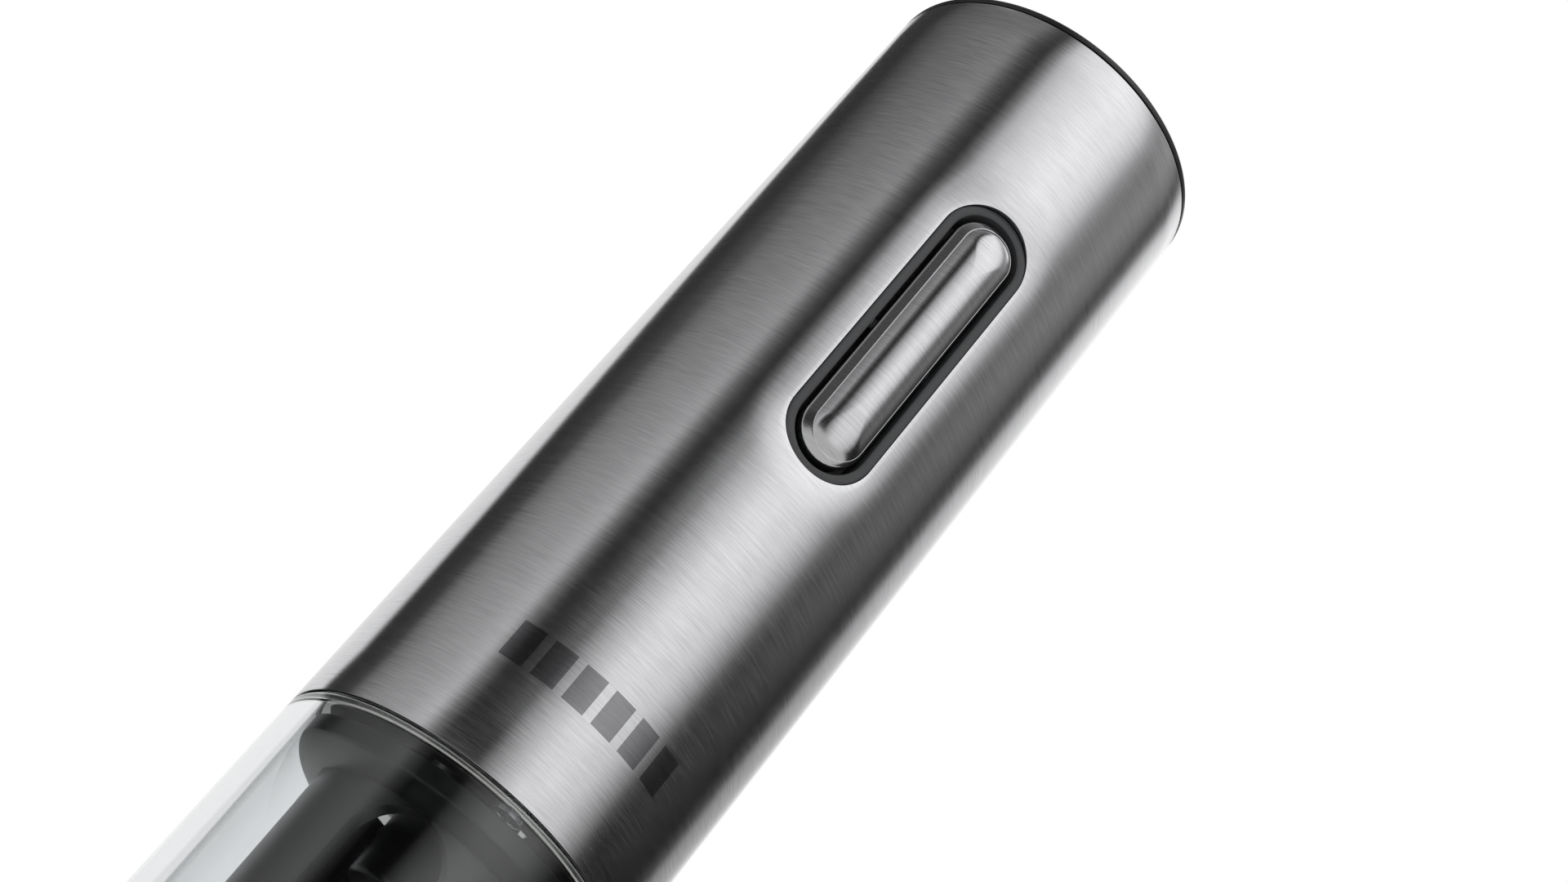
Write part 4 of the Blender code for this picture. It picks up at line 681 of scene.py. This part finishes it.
# ---- worm and chuck ------------------------------------------------------------------------------------
# The worm is an open right-hand helix coiled from spring steel wire, with a ground point, polished and coated
# so that it slips into cork. Its shank is moulded into a black nylon chuck on the gearbox's output shaft.
def swept_wire(path, direction, radii, sides=20):
    """A wire of varying radius along a path. At each point the ring lies across the path's own direction, with
    its first point towards the given direction and the others turned evenly from it."""
    ahead = np.gradient(path, axis=0)
    ahead /= np.linalg.norm(ahead, axis=1, keepdims=True)
    side = direction - ahead * (direction * ahead).sum(1, keepdims=True)
    side /= np.linalg.norm(side, axis=1, keepdims=True)
    across = np.cross(ahead, side)
    turn = (np.arange(sides) * 2 * math.pi / sides)[None, :, None]
    rings = path[:, None] + radii[:, None, None] * (np.cos(turn) * side[:, None] + np.sin(turn) * across[:, None])
    return rings.reshape(-1, 3), grid_faces(len(path), sides, rows_close=False)


def plated_metal(name, colour, roughness, grain=0.6, relief=0.002):
    """Smooth metal: a soft cloud of tone and gloss, as plating and handling leave it, over a faint relief whose
    grain is in mm."""
    made, tree, place = new_material(name)
    grains = add(tree, "TexNoise", {"Vector": place, "Scale": 1 / (grain * MM), "Detail": 3.0})
    cloud = add(tree, "TexNoise", {"Vector": place, "Scale": 1 / (6 * MM), "Detail": 2.0})
    tone = add(tree, "Math", {0: cloud, 1: 0.16, 2: 0.90}, operation="MULTIPLY_ADD")
    shade = add(tree, "Mix", {0: 1.0, 6: hex_colour(colour), 7: tone}, data_type="RGBA",
                blend_type="MULTIPLY").outputs[2]
    rough = add(tree, "Math", {0: grains, 1: 0.08, 2: roughness - 0.04}, operation="MULTIPLY_ADD")
    bump = add(tree, "Bump", {"Height": grains, "Strength": 0.4, "Distance": relief * MM})
    shader = add(tree, "BsdfPrincipled", {"Base Color": shade, "Metallic": 1.0, "Roughness": rough, "Normal": bump})
    add(tree, "OutputMaterial", {0: shader})
    return made


HELIX_R = 3.2
WIRE_R = 1.25
PITCH = 9.0
COIL_STEPS = 480
COIL_BELOW_CHUCK = 2.5
DRAW_TURN = 1.6             # the wire is drawn in to the axis over this angle in radians, and this height
DRAW_HEIGHT = 2.6
SHANK_LENGTH = 7.0
POINT_SHARE = 1 / 26        # the share of the wire's points that is ground down to its tip
chuck_low, chuck_high = corners("worm_chuck")
tip_z = corners("worm")[0][2] + 0.25
coil_top = chuck_low[2] - COIL_BELOW_CHUCK
coil = np.linspace(0, 1, COIL_STEPS)
coil_turns = (coil_top - tip_z) / PITCH
coil_angle = 2 * math.pi * coil_turns * coil
draw = np.linspace(0, 1, 24)[1:]
shank = np.linspace(0, 1, 6)[1:]
drawn_top = coil_top + DRAW_HEIGHT
wire_angle = np.concatenate([coil_angle, coil_angle[-1] + DRAW_TURN * draw,
                             np.full(len(shank), coil_angle[-1] + DRAW_TURN)])
wire_reach = HELIX_R * np.concatenate([np.ones(COIL_STEPS), 1 - smooth_step(draw, 0, 1), np.zeros(len(shank))])
wire_z = np.concatenate([tip_z + (coil_top - tip_z) * coil, coil_top + DRAW_HEIGHT * draw,
                         drawn_top + SHANK_LENGTH * shank])
outward = round_axis(1.0, wire_angle, 0.0)
wire_path = round_axis(wire_reach, wire_angle, wire_z)
wire_r = WIRE_R * np.minimum(1.0, np.linspace(0, 1, len(wire_z)) / POINT_SHARE) ** 0.7
wire_r[-1] = 0.0
worm_steel = plated_metal("polished_spring_steel", "#b9babd", 0.16)
piece("worm_wire", [swept_wire(wire_path, outward, wire_r)], "worm_drive", ["worm"], worm_steel,
      sharp=60)

CHUCK_R = chuck_high[0]
CHUCK_NECK = 1.7
CHUCK_SOCKET = 8.4
socket_z = chuck_low[2] + CHUCK_SOCKET
chuck = [(CHUCK_NECK, chuck_low[2] + 0.6, 0.3), (CHUCK_NECK + 1.2, chuck_low[2], 0.3),
         (CHUCK_R, chuck_low[2], 0.9), (CHUCK_R, chuck_high[2], 0.4), (0, chuck_high[2], 0), (0, socket_z, 0),
         (CHUCK_NECK, socket_z, 0)]
black_nylon = moulded_plastic("black_nylon", "#151617", 0.36, 0.15, 0.001)
piece("worm_holder", [turned(chuck, 72)], "worm_drive", ["worm_chuck"], black_nylon)


# ---- front plate, bush and screws ----------------------------------------------------------------------
# The gearbox stands on a zinc die-casting, polished and nickel plated because it shows through the clear tube.
# A sintered bronze bush carries the output shaft, and three cross-headed screws hold the plate.
BUSH_HOLE = 6.3
BUSH_WALL = 1.7
plate_low, plate_high = corners("front_plate")
plate = [(BUSH_HOLE, plate_low[2], 0.3), (plate_high[0], plate_low[2], 0.5), (plate_high[0], plate_high[2], 0.2),
         (BUSH_HOLE, plate_high[2], 0.2)]
bright_nickel = plated_metal("bright_nickel", "#d3d2ce", 0.06, relief=0.0005)
piece("gearbox_plate", [turned(plate, 160)], "housing", ["front_plate"], bright_nickel)

bush_low, bush_high = corners("worm_bush")
bush = [(bush_high[0] - BUSH_WALL, bush_low[2], 0.4), (bush_high[0], bush_low[2], 0.3),
        (bush_high[0], bush_high[2], 0.2), (bush_high[0] - BUSH_WALL, bush_high[2], 0.2)]
bronze = plated_metal("sintered_bronze", "#a8794a", 0.36, grain=0.15, relief=0.006)
piece("output_bush", [turned(bush, 72)], "housing", ["worm_bush"], bronze)


HEAD_CROWN = 0.35           # how far the head's middle stands proud of its rim
CROSS_HALF = 0.24
CROSS_REACH = 0.62          # the recess's share of the head's radius
CROSS_DEPTH = 0.55


def screw_head(centre, low, high, radius, sides=48):
    """A pan head: rings from the middle to the rim, its height falling with the square of the radius, less a
    cross-shaped recess where either distance from a slot's line is small."""
    share = np.array([0, 0.12, 0.22, 0.3, 0.38, 0.46, 0.54, 0.6, 0.66, 0.75, 0.85, 0.93, 1.0])
    angle = np.arange(sides) * 2 * math.pi / sides
    x, y = (np.outer(share, f(angle)) * radius for f in (np.cos, np.sin))
    arm = np.minimum(np.abs(x), np.abs(y)) < CROSS_HALF
    recess = np.where(arm & (np.hypot(x, y) < CROSS_REACH * radius), CROSS_DEPTH, 0.0)
    face = np.stack([x + centre[0], y + centre[1], low + HEAD_CROWN * share[:, None] ** 2 + recess], -1)
    rim = face[-1:].copy()
    rim[..., 2] = high
    middle = np.broadcast_to([centre[0], centre[1], high], rim.shape)
    points = np.concatenate([face, rim, middle])
    return points.reshape(-1, 3), grid_faces(len(points), sides, rows_close=False)


zinc_screw = plated_metal("zinc_plated_steel", "#a9abad", 0.28)
for number in (1, 2, 3):
    screw_low, screw_high = corners(f"gearbox_screw_{number}")
    middle = (screw_low + screw_high) / 2
    head_r = (screw_high[0] - screw_low[0]) / 2
    under_head = plate_low[2] - 0.05
    shaft = [(0, under_head - 0.1, 0), (1.2, under_head - 0.1, 0), (1.2, screw_high[2] - 0.6, 0.1),
             (0.7, screw_high[2], 0.1), (0, screw_high[2], 0)]
    piece(f"plate_screw_{number}", [screw_head(middle, screw_low[2], under_head, head_r),
                                    turned(shaft, 24, middle, 3)],
          "housing", [f"gearbox_screw_{number}"], zinc_screw)


# ---- foil cutter ---------------------------------------------------------------------------------------
# The base that the opener stands on is a moulded ring. Two jaws slide in it and show as ribbed pads in its side
# windows; squeezed, they press four hardened steel wheels into the foil round a bottle's lip. A bow spring of
# round wire opens them again.
RING_WALL = 2.2
RING_FLOOR = 2.4
WEB_LOW, WEB_HIGH = 18.0, 20.0
NECK_R = 15.0
SOCKET_WALL = 1.5
PAD_WINDOW_HALF = 11.0
PAD_WINDOW_LOW, PAD_WINDOW_HIGH = 4.5, 16.0
ring_top = corners("foil_ring")[1][2]
jaw_low, jaw_high = corners("jaw_right")
wall_levels = np.concatenate([[0.9], np.linspace(2.0, 18.6, 20)])
side_windows = [(math.pi * k, (PAD_WINDOW_LOW + PAD_WINDOW_HIGH) / 2, PAD_WINDOW_HALF,
                 (PAD_WINDOW_HIGH - PAD_WINDOW_LOW) / 2, 1.2, 1.2) for k in (0, 1)]
foot = [(NECK_R, 0, 0.6), (TUBE_R, 0, 0.8), (TUBE_R, 1.0, 0), (TUBE_R - RING_WALL, 1.0, 0),
        (TUBE_R - RING_WALL, RING_FLOOR, 0.1), (NECK_R, RING_FLOOR, 0.5)]
web = [(NECK_R, WEB_LOW, 0.5), (TUBE_R - 0.6, WEB_LOW, 0), (TUBE_R - 0.6, WEB_HIGH, 0), (NECK_R, WEB_HIGH, 0.5)]
mouth = [(TUBE_R - SOCKET_WALL, WEB_HIGH - 0.5, 0), (TUBE_R, WEB_HIGH - 0.5, 0), (TUBE_R, ring_top, 0.4),
         (TUBE_R - SOCKET_WALL, ring_top, 0.3)]
piece("cutter_ring", [pierced_tube(TUBE_R - RING_WALL, TUBE_R - 0.01, wall_levels, 160, side_windows,
                                   margin=1.2, rings=4),
                      turned(foot, 160), turned(web, 160), turned(mouth, 160)],
      "foil_cutter", ["foil_ring"], satin_black, edge=0.25)


def raised(outline, low, high):
    """A closed outline drawn straight up between two heights, with a flat face at each end."""
    outline = np.asarray(outline, float)
    count = len(outline)
    points = np.concatenate([np.column_stack([outline, np.full(count, z)]) for z in (low, high)])
    start = np.arange(count)
    sides = np.stack([start, (start + 1) % count, (start + 1) % count + count, start + count], -1)
    return points, [*sides.tolist(), (start + count).tolist(), start[::-1].tolist()]


JAW_IN, JAW_OUT = 16.3, 22.3
JAW_HALF = 32.0
PAD_HALF = 10.0
RIDGES = 9
RIDGE_RELIEF = 0.45
WHEEL_R = 3.5
WHEEL_Z = 10.4
WHEEL_ANGLE = 20.0
WHEEL_HALF = 0.35
WHEEL_FLAT_R = 2.6
EDGE_HALF = 0.03
AXLE_R = 0.8
AXLE_HALF = 4.2
SLOT_HALF = 0.8
SLOT_HALF_ANGLE = 12.0
SLOT_WALL = 0.35            # what the slot leaves of the jaw's outer wall


def jaw_layer(side, low, high, cut):
    """A stretch of the jaw's ring sector; where `cut`, its inner edge steps out round each wheel."""
    turn = np.radians(np.linspace(-JAW_HALF, JAW_HALF, 97))
    near_wheel = np.abs(np.abs(np.degrees(turn)) - WHEEL_ANGLE) < SLOT_HALF_ANGLE
    inner = np.where(near_wheel & cut, JAW_OUT - SLOT_WALL, JAW_IN)
    outline = np.concatenate([round_axis(JAW_OUT, turn, 0.0), round_axis(inner, turn, 0.0)[::-1]])
    return raised(outline[:, :2] * side, low, high)


pad_y = np.linspace(-PAD_HALF, PAD_HALF, 181)
pad_face = jaw_high[0] - RIDGE_RELIEF * smooth_step(np.cos(pad_y / PAD_HALF * math.pi * RIDGES), -0.4, 0.5)
pad = np.concatenate([np.stack([pad_face, pad_y], -1), [[JAW_OUT - 0.4, PAD_HALF], [JAW_OUT - 0.4, -PAD_HALF]]])
grip_black = moulded_plastic("soft_black_grip", "#232427", 0.55, 0.2, 0.006)
for name, side in (("right", 1), ("left", -1)):
    layers = [(jaw_low[2], WHEEL_Z - SLOT_HALF, False), (WHEEL_Z - SLOT_HALF, WHEEL_Z + SLOT_HALF, True),
              (WHEEL_Z + SLOT_HALF, jaw_high[2], False)]
    piece(f"jaw_{name}_moulding", [*(jaw_layer(side, *layer) for layer in layers),
                                   raised(pad * side, jaw_low[2] + 1.2, jaw_high[2] - 1.2)],
          f"jaw_{name}", [f"jaw_{name}"], grip_black, edge=0.2)

lower_half = [(0, -AXLE_HALF, 0), (AXLE_R, -AXLE_HALF, 0.1), (AXLE_R, -WHEEL_HALF, 0),
              (WHEEL_FLAT_R, -WHEEL_HALF, 0.1), (WHEEL_R, -EDGE_HALF, 0.01)]
disc = lower_half + [(across, -up, pull) for across, up, pull in lower_half[::-1]]
cutter_steel = plated_metal("hardened_cutter_steel", "#c3c5c8", 0.20)
for number in (1, 2, 3, 4):
    wheel_low, wheel_high = corners(f"cutting_wheel_{number}")
    middle = (wheel_low + wheel_high) / 2
    points, faces = turned(disc, 64, middle, 3)
    piece(f"foil_wheel_{number}", [(points + [0, 0, middle[2]], faces)], f"wheel_{number}",
          [f"cutting_wheel_{number}"], cutter_steel)

spring_low, spring_high = corners("jaw_spring")
BOW_WIRE_R = 0.4
BOW_FROM, BOW_TO = -239.0, 59.0
BOW_STEPS = 180
bow_r = spring_high[1] - BOW_WIRE_R - 0.02
bow_turn = np.radians(np.linspace(BOW_FROM, BOW_TO, BOW_STEPS))
bow_path = round_axis(bow_r, bow_turn, (spring_low[2] + spring_high[2]) / 2)
bow_wire = np.full(BOW_STEPS, BOW_WIRE_R)
bow_wire[[0, -1]] = 0.0
spring_wire = plated_metal("drawn_spring_wire", "#8f9194", 0.25)
piece("jaw_bow_spring", [swept_wire(bow_path, round_axis(1.0, bow_turn, 0.0), bow_wire, 12)], "foil_cutter",
      ["jaw_spring"], spring_wire, sharp=60)


# ---- inner parts ---------------------------------------------------------------------------------------
# The gear train, motor, wiring, switch board, cells and contacts sit inside the steel tube. Their shapes are the
# CAD's own; each gets the finish of what it is made of.
def dress(look, *nodes):
    """Gives CAD nodes a material."""
    for node in nodes:
        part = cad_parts[node]
        if not part.material_slots:
            part.data.materials.append(look)
        for holder in part.material_slots:
            holder.material = look


STAGES = ("output", "middle", "input")
inner_black = moulded_plastic("glass_filled_nylon", "#242628", 0.5, 0.25, 0.008)
dress(inner_black, "frame_front", "frame_rear", "gearbox_housing", "motor_end_bell", "battery_cradle",
      "rocker_carrier")
dress(moulded_plastic("white_acetal", "#e4e2da", 0.34, 0.3), "contact_carrier", "plunger_upper", "plunger_lower",
      *(f"{stage}_planet_{number}" for stage in STAGES for number in (1, 2, 3)))
dress(moulded_plastic("switch_phenolic", "#1b1c1e", 0.4, 0.1), "micro_switch_upper", "micro_switch_lower")
dress(moulded_plastic("red_pvc", "#a81c17", 0.35, 0.4), "motor_lead_positive")
dress(moulded_plastic("black_pvc", "#151516", 0.35, 0.4), "motor_lead_negative")
dress(moulded_plastic("green_solder_mask", "#12572e", 0.28, 0.5), "switch_board")
dress(plated_metal("sintered_steel", "#84868a", 0.38, grain=0.12, relief=0.006),
      *(f"{stage}_carrier" for stage in STAGES))
dress(plated_metal("zinc_plated_can", "#aeb0b2", 0.32), "motor_can")
dress(spring_wire, "rocker_pin")
dress(plated_metal("lacquered_copper", "#b4683a", 0.3, grain=0.4, relief=0.02), "motor_rotor")
dress(plated_metal("nickel_plated_strip", "#bcb9b0", 0.25), "terminal_positive", "terminal_negative",
      "lower_bridge", "upper_bridge_left", "upper_bridge_right")


def cell_sleeve(name):
    """A dry cell's printed shrink sleeve: dark, with a copper-coloured band next to its positive end."""
    made, tree, place = new_material(name)
    height = add(tree, "SeparateXYZ", {0: place}).outputs["Z"]
    band = add(tree, "Math", {0: height, 1: CELL_BAND_Z * MM}, operation="GREATER_THAN")
    tint = add(tree, "Mix", {0: band, 6: hex_colour("#20242c"), 7: hex_colour("#b5773c")},
               data_type="RGBA").outputs[2]
    shader = add(tree, "BsdfPrincipled", {"Base Color": tint, "Roughness": 0.3, "Metallic": 0.2})
    add(tree, "OutputMaterial", {0: shader})
    return made


CELL_BAND = 14.0
CELL_BAND_Z = corners("cell_1")[1][2] - CELL_BAND
dress(cell_sleeve("printed_cell_sleeve"), *(f"cell_{number}" for number in (1, 2, 3, 4)))
